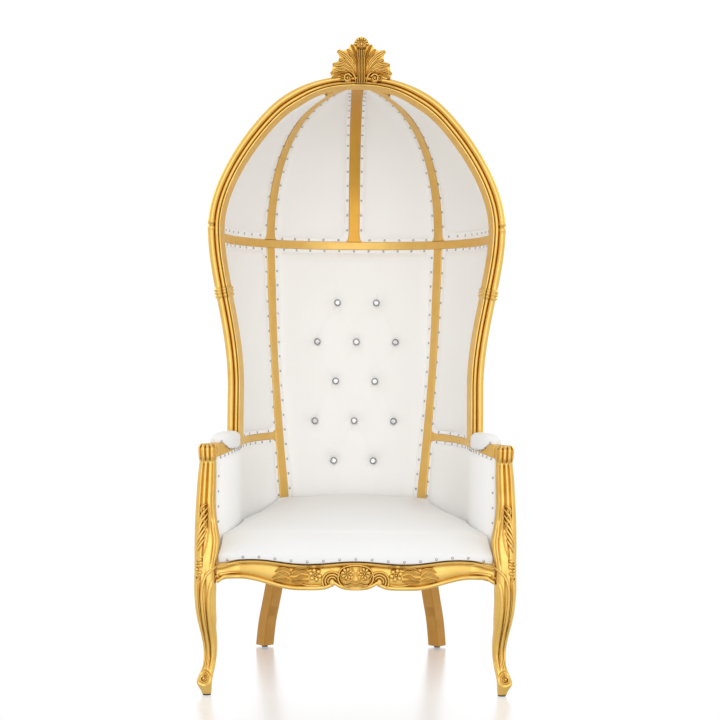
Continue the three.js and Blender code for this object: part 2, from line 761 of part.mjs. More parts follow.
function seatPad() {
  const columns = 12;
  const rows = 8;
  return wall(columns, rows, (s, t, layer) => {
    const u = 2 * s - 1;
    const v = t ** 1.25;
    const side = seatSide(v);
    const bow = 1 - u * u;
    const x = u * side.x;
    const y = side.y - (1 - v) * 34 * bow + v ** 3 * 44 * bow;
    const middle = 479 - 107 * (1 - v) ** 6 - 11 * v ** 6;
    const edge = 412 + 58 * v ** 5 - 44 * (1 - v) ** 12;
    const z = layer ? railTop(x) + SEAT_LIFT : lerp(middle, edge, Math.abs(u) ** 2.5);
    return new THREE.Vector3(x, y, z);
  });
}

// The pad lies along the rail and laps down over its inner side.
function armPad() {
  const rings = [];
  const stations = 5;
  const arcSteps = 6;
  const railFace = ARM_WALL_THICKNESS / 2 + RAIL_PROUD + GAP;
  const foot = ARM_TOP_Z + GAP;
  for (let i = 0; i <= stations; i += 1) {
    const t = i / stations;
    const y = lerp(60, ARCH_FRONT_Y - 2, t);
    const centre = WALL_HALF_WIDTH + ARM_WALL_THICKNESS / 2 + armFlare(y);
    const swell = Math.max(0.35, Math.sin(Math.PI * lerp(0.08, 0.92, t)) ** 0.35);
    const low = foot - ARM_PAD_LAP * swell;
    const inner = -railFace - 7 * swell;
    const ring = [[-railFace, foot], [-railFace, low], [inner, low]];
    for (let k = 0; k <= arcSteps; k += 1) {
      const angle = (k / arcSteps) * Math.PI;
      const across = lerp(inner, 24 * swell, (1 - Math.cos(angle)) / 2);
      ring.push([across, foot + ARM_PAD_RISE * swell * Math.sin(angle) ** 0.7]);
    }
    rings.push(ring.map(([across, z]) => new THREE.Vector3(centre + across, y, z)));
  }
  return loft(rings);
}

// A cut crystal on a shallow cone, seated in its dimple with its face along the back's normal.
function button(x, z) {
  const profile = [[0, 0], [BUTTON_RADIUS, 3.5], [BUTTON_RADIUS, 6], [5, 9.5], [0, 9.5]]
    .map(([radius, height]) => new THREE.Vector2(radius, height));
  const geometry = new THREE.LatheGeometry(profile, 6);
  const step = 5;
  const upward = new THREE.Vector3(0, backY(x, z + step) - backY(x, z - step), 2 * step);
  const sideways = new THREE.Vector3(2 * step, backY(x + step, z) - backY(x - step, z), 0);
  const normal = sideways.cross(upward).normalize();
  geometry.applyQuaternion(
    new THREE.Quaternion().setFromUnitVectors(new THREE.Vector3(0, 1, 0), normal),
  );
  const pit = new THREE.Vector3(x, backY(x, z), z).addScaledVector(normal, GAP);
  return geometry.translate(pit.x, pit.y, pit.z);
}

// ---------------------------------------------------------------- assembly

const throne = new THREE.Group();

function place(name, geometry, material) {
  const bare = geometry.clone();
  bare.deleteAttribute('normal');
  bare.deleteAttribute('uv');
  const merged = mergeVertices(bare);
  merged.computeVertexNormals();
  const mesh = new THREE.Mesh(merged, material());
  mesh.name = name;
  throne.add(mesh);
}

function placePair(name, rightGeometry, material) {
  place(`${name}_right`, rightGeometry, material);
  place(`${name}_left`, mirrored(mergeVertices(rightGeometry)), material);
}

const hood = hoodPieces();
place('hood_arch', joined([archCrown(), ...crest()]), gilded);
placePair('hood_stile', archStile(), gilded);
place('hood_rib_center', hood.centreRib, gilded);
placePair('hood_rib', hood.sideRib, gilded);
place('hood_band', crossband(), gilded);
placePair('hood_back_panel', hood.backPanel, leatherette);
placePair('hood_side_panel', hood.sidePanel, leatherette);
placePair('side_panel', clearOfPosts(sidePanel()), leatherette);
place('back_panel', clearOfPosts(backPanel()), leatherette);
placePair('rear_post', rearPost(), gilded);

const armLow = ARM_TOP_Z - ARM_RAIL_HEIGHT;
const armOuter = ARM_WALL_THICKNESS + RAIL_PROUD;
placePair('arm_rail', armWall(armLow, ARM_TOP_Z, -RAIL_PROUD, armOuter, 0, BEHIND_ARCH, 6, 1), gilded);
const armBand = armWall(armLow, ARM_TOP_Z, -2, armOuter, BEHIND_ARCH + 0.001, 1, 7, 1);
placePair('arm_band', clearOfPosts(armBand), gilded);
const armPanel = armWall(RAIL_TOP_Z + GAP, armLow - GAP, 0, ARM_WALL_THICKNESS, 0, 1, 10, 2);
placePair('arm_panel', clearOfPosts(armPanel), leatherette);
const sideRail = armWall(RAIL_BOTTOM_Z, RAIL_TOP_Z, 0, RAIL_THICKNESS, 0, 1, 9, 1, SIDE_RAIL_FRONT_Y);
placePair('side_rail', clearOfPosts(sideRail), gilded);
placePair('front_leg', frontLeg(), gilded);
place('front_rail', frontRail(), gilded);
place('back_rail', clearOfPosts(wall(10, 1, (s, t, layer) => {
  const z = lerp(RAIL_BOTTOM_Z, RAIL_TOP_Z, t);
  return wallPoint(z, lerp(postAngle(z), Math.PI - postAngle(z), s), faceOffset(layer, WOOD_PROUD));
})), gilded);

place('seat_pad', seatPad(), leatherette);
placePair('arm_pad', armPad(), leatherette);
buttonPlaces().forEach(([x, z], i) => place(`crystal_button_${i + 1}`, button(x, z), crystal));

for (const [name, x, y, radius, height] of [
  ['front_glide', 386, -1, 11, FRONT_GLIDE_HEIGHT - GAP],
  ['rear_glide', ...REAR_FOOT, 9, REAR_GLIDE_HEIGHT - GAP],
]) {
  const profile = [[0, 0], [radius, 0], [radius, height], [0, height]];
  const glide = new THREE.LatheGeometry(profile.map(([r, h]) => new THREE.Vector2(r, h)), 8);
  placePair(name, shaped(glide, [1, 1, 1], [x, y, 0], [Math.PI / 2, 0, 0]), blackPlastic);
}

const extent = new THREE.Box3().setFromObject(throne);
throne.position.y = -(extent.min.y + extent.max.y) / 2;

export default throne;
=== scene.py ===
"""A canopy throne: gilded carving, a ribbed and padded hood, a tufted back and a crowned seat."""

import random
from math import acos, asin, copysign, cos, exp, hypot, log, pi, radians, sin, sqrt

import bmesh
import bpy
from mathutils import Matrix, Vector
from mathutils.bvhtree import BVHTree
from mathutils.geometry import interpolate_bezier


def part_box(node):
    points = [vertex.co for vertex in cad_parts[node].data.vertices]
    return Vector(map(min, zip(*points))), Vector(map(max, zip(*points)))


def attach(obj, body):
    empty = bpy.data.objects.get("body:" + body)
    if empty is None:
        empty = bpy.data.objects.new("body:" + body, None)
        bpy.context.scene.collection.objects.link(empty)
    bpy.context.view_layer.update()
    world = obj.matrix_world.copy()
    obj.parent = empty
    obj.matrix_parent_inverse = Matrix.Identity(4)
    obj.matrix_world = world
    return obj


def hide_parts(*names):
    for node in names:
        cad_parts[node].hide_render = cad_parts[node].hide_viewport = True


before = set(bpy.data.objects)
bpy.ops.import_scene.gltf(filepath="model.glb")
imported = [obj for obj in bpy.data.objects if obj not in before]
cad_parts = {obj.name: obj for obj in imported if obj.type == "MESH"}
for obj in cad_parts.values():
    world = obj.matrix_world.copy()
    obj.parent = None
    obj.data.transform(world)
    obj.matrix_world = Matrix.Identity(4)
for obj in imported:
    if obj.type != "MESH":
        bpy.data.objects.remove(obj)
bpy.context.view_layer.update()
chance = random.Random(7)

# Shapes are worked out in millimetres. X and Z are the frame's, and Y counts back from the
# plane of the front feet.
MM = 0.001
GAP = 0.3
WALL_FRONT_Y = 232.3  # where hood, back and arms start behind the arch
FEET_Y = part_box("hood_band")[0].y - WALL_FRONT_Y * MM

# -------- driving sizes

ARCH_FRONT_Y = 187
PLAN_Y = 207
PLAN_POWER = 2.4  # of the superellipse that hood, back and arms follow in plan
FRONT_POWER, SIDE_POWER = 1.8, 2.8  # and of the dome's curves seen from the front and the side
SEAT_LINE_Z = 470
WAIST_Z = 800
BAND_Z = 1210
BAND_TOP_Z = 1222
BAND_FOOT_Z = 1198
WALL_HALF_WIDTH = 316
HOOD_HALF_WIDTH = 374
WALL_DEPTH = 430
HOOD_DEPTH = 548
HOOD_RISE = 408
SHELL = 24  # thickness of the padded walls
PROUD = 2  # how far ribs, bands and posts stand out from them
RIB_HALF = 16
POST_HALF = 17.5
RIB_TOP_X = 45
RIB_TOP_Y = 240
POST_X_AT_SEAT = 202
POST_X_AT_BAND = 250
POST_BOW = 6
ARM_TOP_Z = 655
ARM_LOW_Z = 635
ARM_MIDDLE_Z = (ARM_TOP_Z + ARM_LOW_Z) / 2
ARM_OUTER = 34  # the arm rails and bands stand this far out from the wall's inner face
ARM_PAD_X = WALL_HALF_WIDTH + 15
RAIL_TOP_Z = 350
RAIL_MIDDLE_Z = 320
RAIL_END_X = 361
ARM_FRONT_Y = 45
ARM_FLARE = 51
ARM_DIP = 16
ARM_DIP_RUN = 0.23
ARM_TURN = 0.35  # share of an arm's run that lies in front of the plan curve
BORDER = 9  # flat strip round every padded panel, which carries the nails
STRIP = BORDER / 2
BUTTON_COLUMN = 59
BUTTON_ROW = 117.5
BUTTON_ROWS = 5
FIRST_BUTTON_Z = 567
TOP_BUTTON_Z = FIRST_BUTTON_Z + (BUTTON_ROWS - 1) * BUTTON_ROW
SEAT_HALF = 352


def lerp(a, b, t):
    return a + (b - a) * t


def smooth(low, high, value):
    t = min(1, max(0, (value - low) / (high - low)))
    return t * t * (3 - 2 * t)


def bump(value, middle, reach):
    """1 at the middle, falling to nothing a few reaches away."""
    return exp(-(((value - middle) / reach) ** 2))


def flowing(points, t):
    """A smooth curve through points, at share t of its run."""
    t = min(1, max(0, t)) * (len(points) - 1) * 0.99999
    i = int(t)
    a, b, c, d = (points[min(len(points) - 1, max(0, i + k))] for k in (-1, 0, 1, 2))
    f = t - i
    return 0.5 * (
        2 * b + (c - a) * f + (2 * a - 5 * b + 4 * c - d) * f * f + (3 * b - a - 3 * c + d) * f**3
    )


def samples(count, place):
    """Points at even shares from 0 to 1 of what place draws."""
    return [place(i / (count - 1)) for i in range(count)]


def ring(x, z, radius, count):
    """Points round a circle, in the plane of the front."""
    return samples(count, lambda t: (
        x + radius * cos(2 * pi * t), z + radius * sin(2 * pi * t),
    ))


def reaches(path):
    """Distance along a path to each of its points."""
    found = [0.0]
    for a, b in zip(path, path[1:]):
        found.append(found[-1] + (b - a).length)
    return found


def spot_at(path, lengths, reach):
    """The stretch of a path that holds a distance along it, and the point there."""
    k = max(j for j in range(len(path) - 1) if lengths[j] <= reach)
    span = lengths[k + 1] - lengths[k]
    return k, path[k].lerp(path[k + 1], (reach - lengths[k]) / span if span else 0)


# -------- the wall's form


def half_width(z):
    """Half the wall's width inside, at height z."""
    if z > BAND_Z:
        return HOOD_HALF_WIDTH * sqrt(max(0, 1 - ((z - BAND_Z) / HOOD_RISE) ** FRONT_POWER))
    return lerp(WALL_HALF_WIDTH, HOOD_HALF_WIDTH, smooth(WAIST_Z, BAND_Z, z))


def wall_depth(z):
    """The wall's reach behind PLAN_Y, at height z."""
    if z > BAND_Z:
        rise = min(1, (z - BAND_Z) / HOOD_RISE)
        return HOOD_DEPTH * (1 - rise**SIDE_POWER) ** (1 / SIDE_POWER)
    rake = max(0, (z - SEAT_LINE_Z) / (BAND_Z - SEAT_LINE_Z))
    return lerp(WALL_DEPTH, HOOD_DEPTH, 1 - (1 - rake) ** 1.2)


def bent(value):
    """A sine or cosine, turned into the superellipse's."""
    return copysign(abs(value) ** (2 / PLAN_POWER), value)


def wall_point(z, angle, offset=0.0):
    """Angle 0 is the wall's right end at the arch, and a quarter turn the middle of the back."""
    x = (half_width(z) + offset) * bent(cos(angle))
    y = PLAN_Y + (wall_depth(z) + offset) * bent(sin(angle))
    return Vector((x, y, z))


def front_angle(z, offset):
    """The wall's angle where its right side meets the arch."""
    return asin(((WALL_FRONT_Y - PLAN_Y) / (wall_depth(z) + offset)) ** (PLAN_POWER / 2))


def post_angle(z):
    """The wall's angle at the middle of the right rear post."""
    rise = max(0, (z - SEAT_LINE_Z) / (BAND_Z - SEAT_LINE_Z))
    x = lerp(POST_X_AT_SEAT, POST_X_AT_BAND, rise) + POST_BOW * sin(pi * rise)
    return acos((x / half_width(z)) ** (PLAN_POWER / 2))


def beside_post(z, reach):
    """The wall's angle at a point that lies reach in front of the right post's middle."""
    angle = post_angle(z)
    pace = (wall_point(z, angle + 0.01) - wall_point(z, angle - 0.01)).length / 0.02
    return angle - reach / pace


def back_y(x, z, offset=0.0):
    """Y of the wall's back at x."""
    share = min(1, abs(x) / (half_width(z) + offset))
    return PLAN_Y + (wall_depth(z) + offset) * (1 - share**PLAN_POWER) ** (1 / PLAN_POWER)


def rib_line(y, across):
    """X at y of a line beside the right rib's middle in plan."""
    seat_y = wall_point(BAND_Z, post_angle(BAND_Z)).y
    lean = (POST_X_AT_BAND - RIB_TOP_X) / (seat_y - RIB_TOP_Y)
    return RIB_TOP_X + (y - RIB_TOP_Y) * lean + across * hypot(1, lean)


def dome_point(line, turn, offset):
    """Where the dome is met on a ray that turns from upright (0) to straight back (1).

    line(y) gives the X of the upright cut that the ray lies in."""
    low, high = 0.0, 800.0
    for _ in range(34):
        reach = (low + high) / 2
        y = WALL_FRONT_Y + reach * sin(turn * pi / 2)
        z = BAND_TOP_Z + GAP + reach * cos(turn * pi / 2)
        level = (z + offset * BAND_Z / HOOD_RISE) / (1 + offset / HOOD_RISE)
        wide, deep = half_width(level) + offset, wall_depth(level) + offset
        inside = (
            level < BAND_Z + HOOD_RISE and min(wide, deep) > 0
            and (abs(line(y)) / wide) ** PLAN_POWER + ((y - PLAN_Y) / deep) ** PLAN_POWER < 1
        )
        low, high = (reach, high) if inside else (low, reach)
    return Vector((line(y), y, z))


def dome_side(z, share, offset):
    """A point of the dome's side at height z, from the arch (0) to the right rib's edge (1)."""
    low, high = 0.0, pi / 2
    for _ in range(30):
        angle = (low + high) / 2
        point = wall_point(z, angle, offset)
        low, high = (low, angle) if point.x < rib_line(point.y, RIB_HALF + GAP) else (angle, high)
    start = front_angle(z, offset)
    point = wall_point(z, lerp(start, max(start, low), share), offset)
    point.z += offset * (z - BAND_Z) / HOOD_RISE
    return point


def arm_flare(y):
    """How far an arm has swung out from the wall's line at y."""
    return ARM_FLARE * (max(0, PLAN_Y - y) / (PLAN_Y - ARM_FRONT_Y)) ** 2


def arm_dip(run):
    """Drop of the joint between an arm's rail and its panel towards the arm post."""
    return ARM_DIP * max(0, 1 - run / ARM_DIP_RUN) ** 1.3


def arm_point(z, run, offset, front_y=ARM_FRONT_Y):
    """A point of an arm or side rail, from its front end (0) to the rear post (1)."""
    if run >= ARM_TURN:
        end = beside_post(z, POST_HALF + 0.6)
        angle = lerp(0, end, (run - ARM_TURN) / (1 - ARM_TURN))
        return wall_point(z, angle, offset)
    y = lerp(front_y, PLAN_Y, run / ARM_TURN)
    return Vector((half_width(z) + offset + arm_flare(y), y, z))


# -------- meshes


def surface(columns, rows, place):
    """A grid whose point at shares (u, v) goes where place says."""
    bm = bmesh.new()
    bmesh.ops.create_grid(bm, x_segments=columns, y_segments=rows, size=0.5)
    for vert in bm.verts:
        vert.co = place(vert.co.x + 0.5, vert.co.y + 0.5)
    return bm


def sweep(steps, section, place):
    """A closed bar: place(u, point) puts each point of a closed section at share u of its run."""
    sides = len(section)
    bm = surface(steps, sides, lambda u, v: place(u, section[round(v * sides) % sides]))
    bmesh.ops.remove_doubles(bm, verts=bm.verts, dist=1e-4)
    bmesh.ops.holes_fill(bm, edges=[e for e in bm.edges if e.is_boundary], sides=0)
    bmesh.ops.recalc_face_normals(bm, faces=bm.faces)
    return bm


def wall(columns, rows, place):
    """A closed wall: place(u, v, layer) gives its inner (0) and outer (1) face."""
    bm = bmesh.new()
    for layer in (0, 1):
        grid = bmesh.ops.create_grid(bm, x_segments=columns, y_segments=rows, size=0.5)
        for vert in grid["verts"]:
            vert.co = place(vert.co.x + 0.5, vert.co.y + 0.5, layer)
    bmesh.ops.bridge_loops(bm, edges=[e for e in bm.edges if e.is_boundary])
    bmesh.ops.recalc_face_normals(bm, faces=bm.faces)
    return bm


def add(bm, other, *copies):
    """Adds a mesh to bm, once as it is or once under each matrix, and frees it."""
    mesh = bpy.data.meshes.new("part")
    for matrix in copies or (Matrix(),):
        turned = other.copy()
        turned.transform(matrix)
        if matrix.determinant() < 0:
            bmesh.ops.reverse_faces(turned, faces=turned.faces)
        turned.to_mesh(mesh)
        turned.free()
        bm.from_mesh(mesh)
    bpy.data.meshes.remove(mesh)
    other.free()
    return bm


MIRROR = Matrix.Scale(-1, 4, (1, 0, 0))
TO_FRAME = Matrix.Translation((0, FEET_Y, 0)) @ Matrix.Scale(MM, 4)
# Degrees between faces that still shade as one surface.
FACETS, PLAIN_WORK, RAIL_WORK, CARVED, SOFT = 5, 38, 45, 50, 60


def linked(name, data):
    """An object in the scene."""
    made = bpy.data.objects.new(name, data)
    bpy.context.scene.collection.objects.link(made)
    return made


def piece(name, bm, finish, blend=PLAIN_WORK, dresses=None):
    """Turns a mesh in millimetres into a finished piece of the throne, alone in its list.

    It stands for the solid of its own name, if there is one, or for those that it dresses."""
    bm.transform(TO_FRAME)
    mesh = bpy.data.meshes.new(name)
    bm.to_mesh(mesh)
    bm.free()
    mesh.shade_smooth()
    mesh.set_sharp_from_angle(angle=radians(blend))
    mesh.materials.append(finish)
    made = linked(name, mesh)
    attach(made, "root")
    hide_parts(*(dresses or [node for node in [name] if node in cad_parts]))
    return [made]


def pair(name, bm, finish, blend=PLAIN_WORK):
    """The right-hand piece and its mirror image on the left."""
    left = bm.copy()
    left.transform(MIRROR)
    bmesh.ops.reverse_faces(left, faces=left.faces)
    return piece(f"{name}_right", bm, finish, blend) + piece(f"{name}_left", left, finish, blend)


def tree_of(made):
    """A finished piece's surface in millimetres, ready to be met by rays."""
    bm = bmesh.new()
    bm.from_mesh(made.data)
    bm.transform(TO_FRAME.inverted())
    tree = BVHTree.FromBMesh(bm)
    bm.free()
    return tree


def met(tree, x, z, start):
    """The first point of a surface that is met going straight back from Y = start."""
    return tree.ray_cast(Vector((x, start, z)), Vector((0, 1, 0)))[0]


# -------- finishes


class Value:
    """A socket in a material, so that sums of values read as sums."""

    def __init__(self, finish, output):
        self.finish, self.output = finish, output

    def maths(self, operation, first, second):
        settings = {"operation": operation}
        return self.finish.node("ShaderNodeMath", settings, {0: first, 1: second})

    def __add__(self, other):
        return self.maths("ADD", self, other)

    def __sub__(self, other):
        return self.maths("SUBTRACT", self, other)

    def __mul__(self, other):
        return self.maths("MULTIPLY", self, other)

    __radd__ = __add__
    __rmul__ = __mul__


class Finish:
    """A material, built up from its patterns."""

    def __init__(self, name, **plain):
        self.material = bpy.data.materials.new(name)
        self.material.use_nodes = True
        self.tree = self.material.node_tree
        self.shader = self.tree.nodes["Principled BSDF"]
        for socket, value in plain.items():
            self.shader.inputs[socket.replace("_", " ")].default_value = value
        self.place = self.node("ShaderNodeTexCoord", output="Object")

    def node(self, kind, settings=None, sockets=None, output=0):
        node = self.tree.nodes.new(kind)
        for name, value in (settings or {}).items():
            if name == "stops":
                ramp = node.color_ramp
                for element, (position, colour) in zip(ramp.elements, value):
                    element.position, element.color = position, colour
            else:
                setattr(node, name, value)
        for name, value in (sockets or {}).items():
            self.feed(node.inputs[name], value)
        return Value(self, node.outputs[output])

    def feed(self, socket, value):
        if isinstance(value, Value):
            self.tree.links.new(value.output, socket)
        else:
            socket.default_value = value

    def set(self, **links):
        for socket, value in links.items():
            self.feed(self.shader.inputs[socket.replace("_", " ")], value)

    def noise(self, scale, detail=3.0):
        sockets = {"Vector": self.place, "Scale": scale, "Detail": detail, "Roughness": 0.55}
        return self.node("ShaderNodeTexNoise", {}, sockets)

    def ramp(self, value, *stops):
        return self.node("ShaderNodeValToRGB", {"stops": stops}, {0: value})

    def between(self, share, first, second, blend="MIX"):
        settings = {"data_type": "RGBA", "blend_type": blend}
        return self.node("ShaderNodeMix", settings, {0: share, 6: first, 7: second}, 2)

    def raised(self, height, distance, strength):
        sockets = {"Height": height, "Distance": distance, "Strength": strength}
        self.set(Normal=self.node("ShaderNodeBump", {}, sockets))


def grey(value):
    """A colour without a hue."""
    return value, value, value, 1


def gold_leaf(name, glaze_and_shade_tone, dull, bright, metallic, rough, painted_shade_low=False):
    """Leaf over wood: darker and redder in the hollows, partly the glaze that lies there and partly
    painted shade from an occlusion mask; paler on the open ridges.
    """
    gold = Finish(name, Metallic=metallic)
    # Painted shade: an occlusion mask darkens and reddens the hollows, over the glaze that really lies
    # in them.
    glaze_and_shade_mask = gold.node("ShaderNodeAmbientOcclusion", {"samples": 6}, {"Distance": 0.011}, "AO")
    clouds = gold.noise(26.0)
    depth = gold.ramp(glaze_and_shade_mask + clouds * 0.18 - 0.09, (0.25, grey(0)), (0.85, grey(1)))
    leaf = gold.between(clouds, (*dull, 1), (*bright, 1))
    tone = gold.between(depth, (*glaze_and_shade_tone, 1), leaf)
    if painted_shade_low:
        # Painted shade: below about a third of a metre the tone is multiplied darker and browner, for
        # the shade that falls under the seat on the rear legs and rails.
        height = gold.node("ShaderNodeSeparateXYZ", {}, {0: gold.place}, "Z")
        foot = gold.ramp(height + clouds * 0.03, (0.30, (0.63, 0.49, 0.33, 1)), (0.37, grey(1)))
        tone = gold.between(1.0, tone, foot, "MULTIPLY")
    gold.set(Base_Color=tone)
    gold.set(Roughness=rough + gold.noise(70.0) * 0.16 + gold.noise(9.0) * 0.06)
    brushing = gold.noise(520.0, 2.0) * 0.5 + gold.noise(60.0, 3.0) * 1.6
    gold.raised(brushing, 0.00035, 0.55)
    return gold.material


def leatherette(name, tone):
    """White coated cloth with a fine pebbled grain and a soft shine."""
    hide = Finish(name, IOR=1.46)
    cells = hide.node(
        "ShaderNodeTexVoronoi",
        {"feature": "SMOOTH_F1"},
        {"Vector": hide.place, "Scale": 620.0, "Smoothness": 0.6},
    )
    wear = hide.noise(7.0)
    worn, fresh = (tone, tone, tone * 0.99, 1), (tone + 0.04, tone + 0.04, tone + 0.035, 1)
    hide.set(Base_Color=hide.between(wear, worn, fresh))
    hide.set(Roughness=0.38 + wear * 0.1 + cells * 0.06)
    hide.raised(cells * 0.55 + hide.noise(150.0) * 0.45, 0.0003, 0.4)
    return hide.material


def cut_crystal():
    stone = Finish("cut_crystal", Metallic=0.85, Roughness=0.05, Coat_Weight=1.0)
    stone.set(Base_Color=stone.between(stone.noise(90.0), (0.62, 0.66, 0.7, 1), (0.97, 0.98, 1, 1)))
    stone.raised(stone.noise(240.0), 0.0004, 0.4)
    return stone.material


def nickel(name, dull, bright):
    metal = Finish(name, Metallic=1.0)
    metal.set(Base_Color=metal.between(metal.noise(60.0), grey(dull), grey(bright)))
    metal.set(Roughness=0.16 + metal.noise(300.0) * 0.14)
    metal.raised(metal.noise(900.0), 0.0001, 0.3)
    return metal.material


def glide_plastic():
    plastic = Finish("glide_plastic")
    scuffs = plastic.noise(160.0)
    plastic.set(Base_Color=plastic.between(scuffs, grey(0.012), grey(0.04)))
    plastic.set(Roughness=0.45 + scuffs * 0.25)
    plastic.raised(scuffs, 0.0002, 0.5)
    return plastic.material


# The carved front, the hood's middle rib and the plain ribs, bands and posts.
GOLD = gold_leaf(
    "gold_leaf", (0.50, 0.25, 0.032), (0.73, 0.45, 0.105), (0.87, 0.60, 0.19), 1.0, 0.28,
)
DEEP = gold_leaf(
    "deep_gilding", (0.40, 0.19, 0.025), (0.62, 0.33, 0.05), (0.70, 0.38, 0.065), 0.8, 0.34,
)
# Its low parts get painted shade, for the shade under the seat.
PLAIN = gold_leaf(
    "plain_gilding", (0.45, 0.22, 0.035), (0.75, 0.47, 0.12), (0.86, 0.58, 0.19), 0.8, 0.36, True,
)
# Two copies of one white leatherette: the seat and the arm pads, out in the open, take a darker tone
# than the sheltered walls in the hood. This is painted shade on the open pieces and painted light on
# the walls, to even out how they are lit.
HIDE, DARKENED_HIDE = leatherette("leatherette", 0.93), leatherette("leatherette_painted_darker", 0.81)
CRYSTAL, GLIDE = cut_crystal(), glide_plastic()
NICKEL, CUP = nickel("polished_nickel", 0.4, 0.6), nickel("dark_nickel", 0.22, 0.36)


# -------- padding, seams and nails

# Distances in from a panel's edge at which its border, seam and roll need points.
EDGE_STEPS = (0, 4.5, 8.5, 9.7, 11.5, 14, 18, 24, 32)


def spread(count, width):
    """Distances across a padded panel, close together over the border at each side."""
    fit = min(1, width / (2.3 * EDGE_STEPS[-1]))
    near = [step * fit for step in EDGE_STEPS]
    inner = [lerp(near[-1], width - near[-1], i / (count + 1)) for i in range(1, count + 1)]
    return near + inner + [width - step for step in reversed(near)]


def roll(distance, rise):
    """Height of the padding at a distance in from its edge: a flat strip, a seam, a soft roll."""
    if distance < BORDER - 0.4:
        return 0.9
    seam = -1.0 * bump(distance, BORDER + 0.7, 1.2)
    into = (distance - BORDER) / 26
    return seam + rise * (1 - exp(-2.1 * into)) if into > 0 else seam


def inset(across, width, up, height):
    """Distance to the nearest edge of a panel, rounded off in its corners."""
    sides = (across, width - across, up, height - up)
    return -8 * log(sum(exp(-max(0, side) / 8) for side in sides)) + 0.01


def padded_wall(columns, rows, size, place, rise, outer_rise=5, relief=None):
    """A closed upholstered wall.

    size(u, v) is its width and height there, in millimetres; place(u, v, offset) puts shares of
    them on the wall at an offset outwards; relief(point, near) presses the padding in, where near
    is the distance to the edge."""
    count_u, count_v = columns + 2 * len(EDGE_STEPS) - 1, rows + 2 * len(EDGE_STEPS) - 1

    def put(u, v, layer):
        width, height = size(0.5, v)[0], size(u, 0.5)[1]
        across = spread(columns, width)[round(u * count_u)]
        up = spread(rows, height)[round(v * count_v)]
        near = min(inset(across, width, up, height), across, width - across, up, height - up)
        swell = roll(max(0, near), outer_rise if layer else rise)
        offset = SHELL + swell if layer else -swell
        point = place(across / width, up / height, offset)
        if relief and not layer:
            point = relief(point, near)
        return point

    return wall(count_u, count_v, put)


NAIL_RADIUS = 3.8


def nail_row(bm, path, spacing, tree):
    """Domed nailheads along a path, each square to the surface that it is driven into."""
    lengths = reaches(path)
    count = max(1, round(lengths[-1] / spacing))
    flat = Matrix.Diagonal((1, 1, 0.62, 1))
    for i in range(count):
        _, guess = spot_at(path, lengths, (i + 0.5) * lengths[-1] / count)
        seat, normal, _, _ = tree.find_nearest(guess)
        turn = normal.to_track_quat("Z", "Y").to_matrix().to_4x4()
        bmesh.ops.create_uvsphere(
            bm, u_segments=9, v_segments=6, radius=NAIL_RADIUS * chance.uniform(0.96, 1.04),
            matrix=Matrix.Translation(seat) @ turn @ flat,
        )


def breadth(place, v):
    """Width of a curved panel, measured along it."""
    return reaches([place(share, v, 0) for share in (0, 0.33, 0.66, 1)])[-1]


def beside(place, size, side, low, high, count):
    """Points up the border at a panel's left (0) or right (1), between two shares of its height."""
    def spot(t):
        v = lerp(low, high, t)
        share = STRIP / size(0, v)[0]
        return place(1 - share if side else share, v, 0)

    return samples(count, spot)


def line_on(place, start, end, count, offset=0):
    """Points along a line over a panel, between two pairs of shares of its width and height."""
    return samples(count, lambda t: place(lerp(start[0], end[0], t), lerp(start[1], end[1], t), offset))


def nailed(name, bm, rows, finish=HIDE, make=pair):
    """Finishes an upholstered piece and drives its rows of nails: (path, spacing) pairs."""
    tree = BVHTree.FromBMesh(bm)
    heads = bmesh.new()
    for path, spacing in rows:
        nail_row(heads, path, spacing, tree)
    covers = make(name, bm, finish, SOFT)
    make(f"{name}_nails", heads, NICKEL, SOFT)
    return covers


WIDE_PACE = 66  # along the foot of the side walls
NAIL_PACE = 44  # along open borders
CLOSE_PACE = 26  # along the arch and the rims that turn away
DENSE_PACE = 22  # along the fronts of the arms


# -------- hood


def bar_section(half, low, high, chamfer=1.6):
    """Section of a plain squared bar: across and outwards."""
    near, far = half - chamfer, half
    return [
        (-far, low + chamfer), (-near, low), (near, low), (far, low + chamfer),
        (far, high - chamfer), (near, high), (-near, high), (-far, high - chamfer),
    ]


def rib(line):
    """A bent rib of the dome that lies over a line in plan."""
    section = bar_section(RIB_HALF, -PROUD - 1, SHELL + PROUD)

    def place(u, point):
        fillet = 8 * (exp(-u * 130) + exp(-(1 - u) * 110))
        across = point[0] * (1 + fillet / RIB_HALF)
        return dome_point(lambda y: line(y, across), u, point[1])

    return sweep(150, section, place)


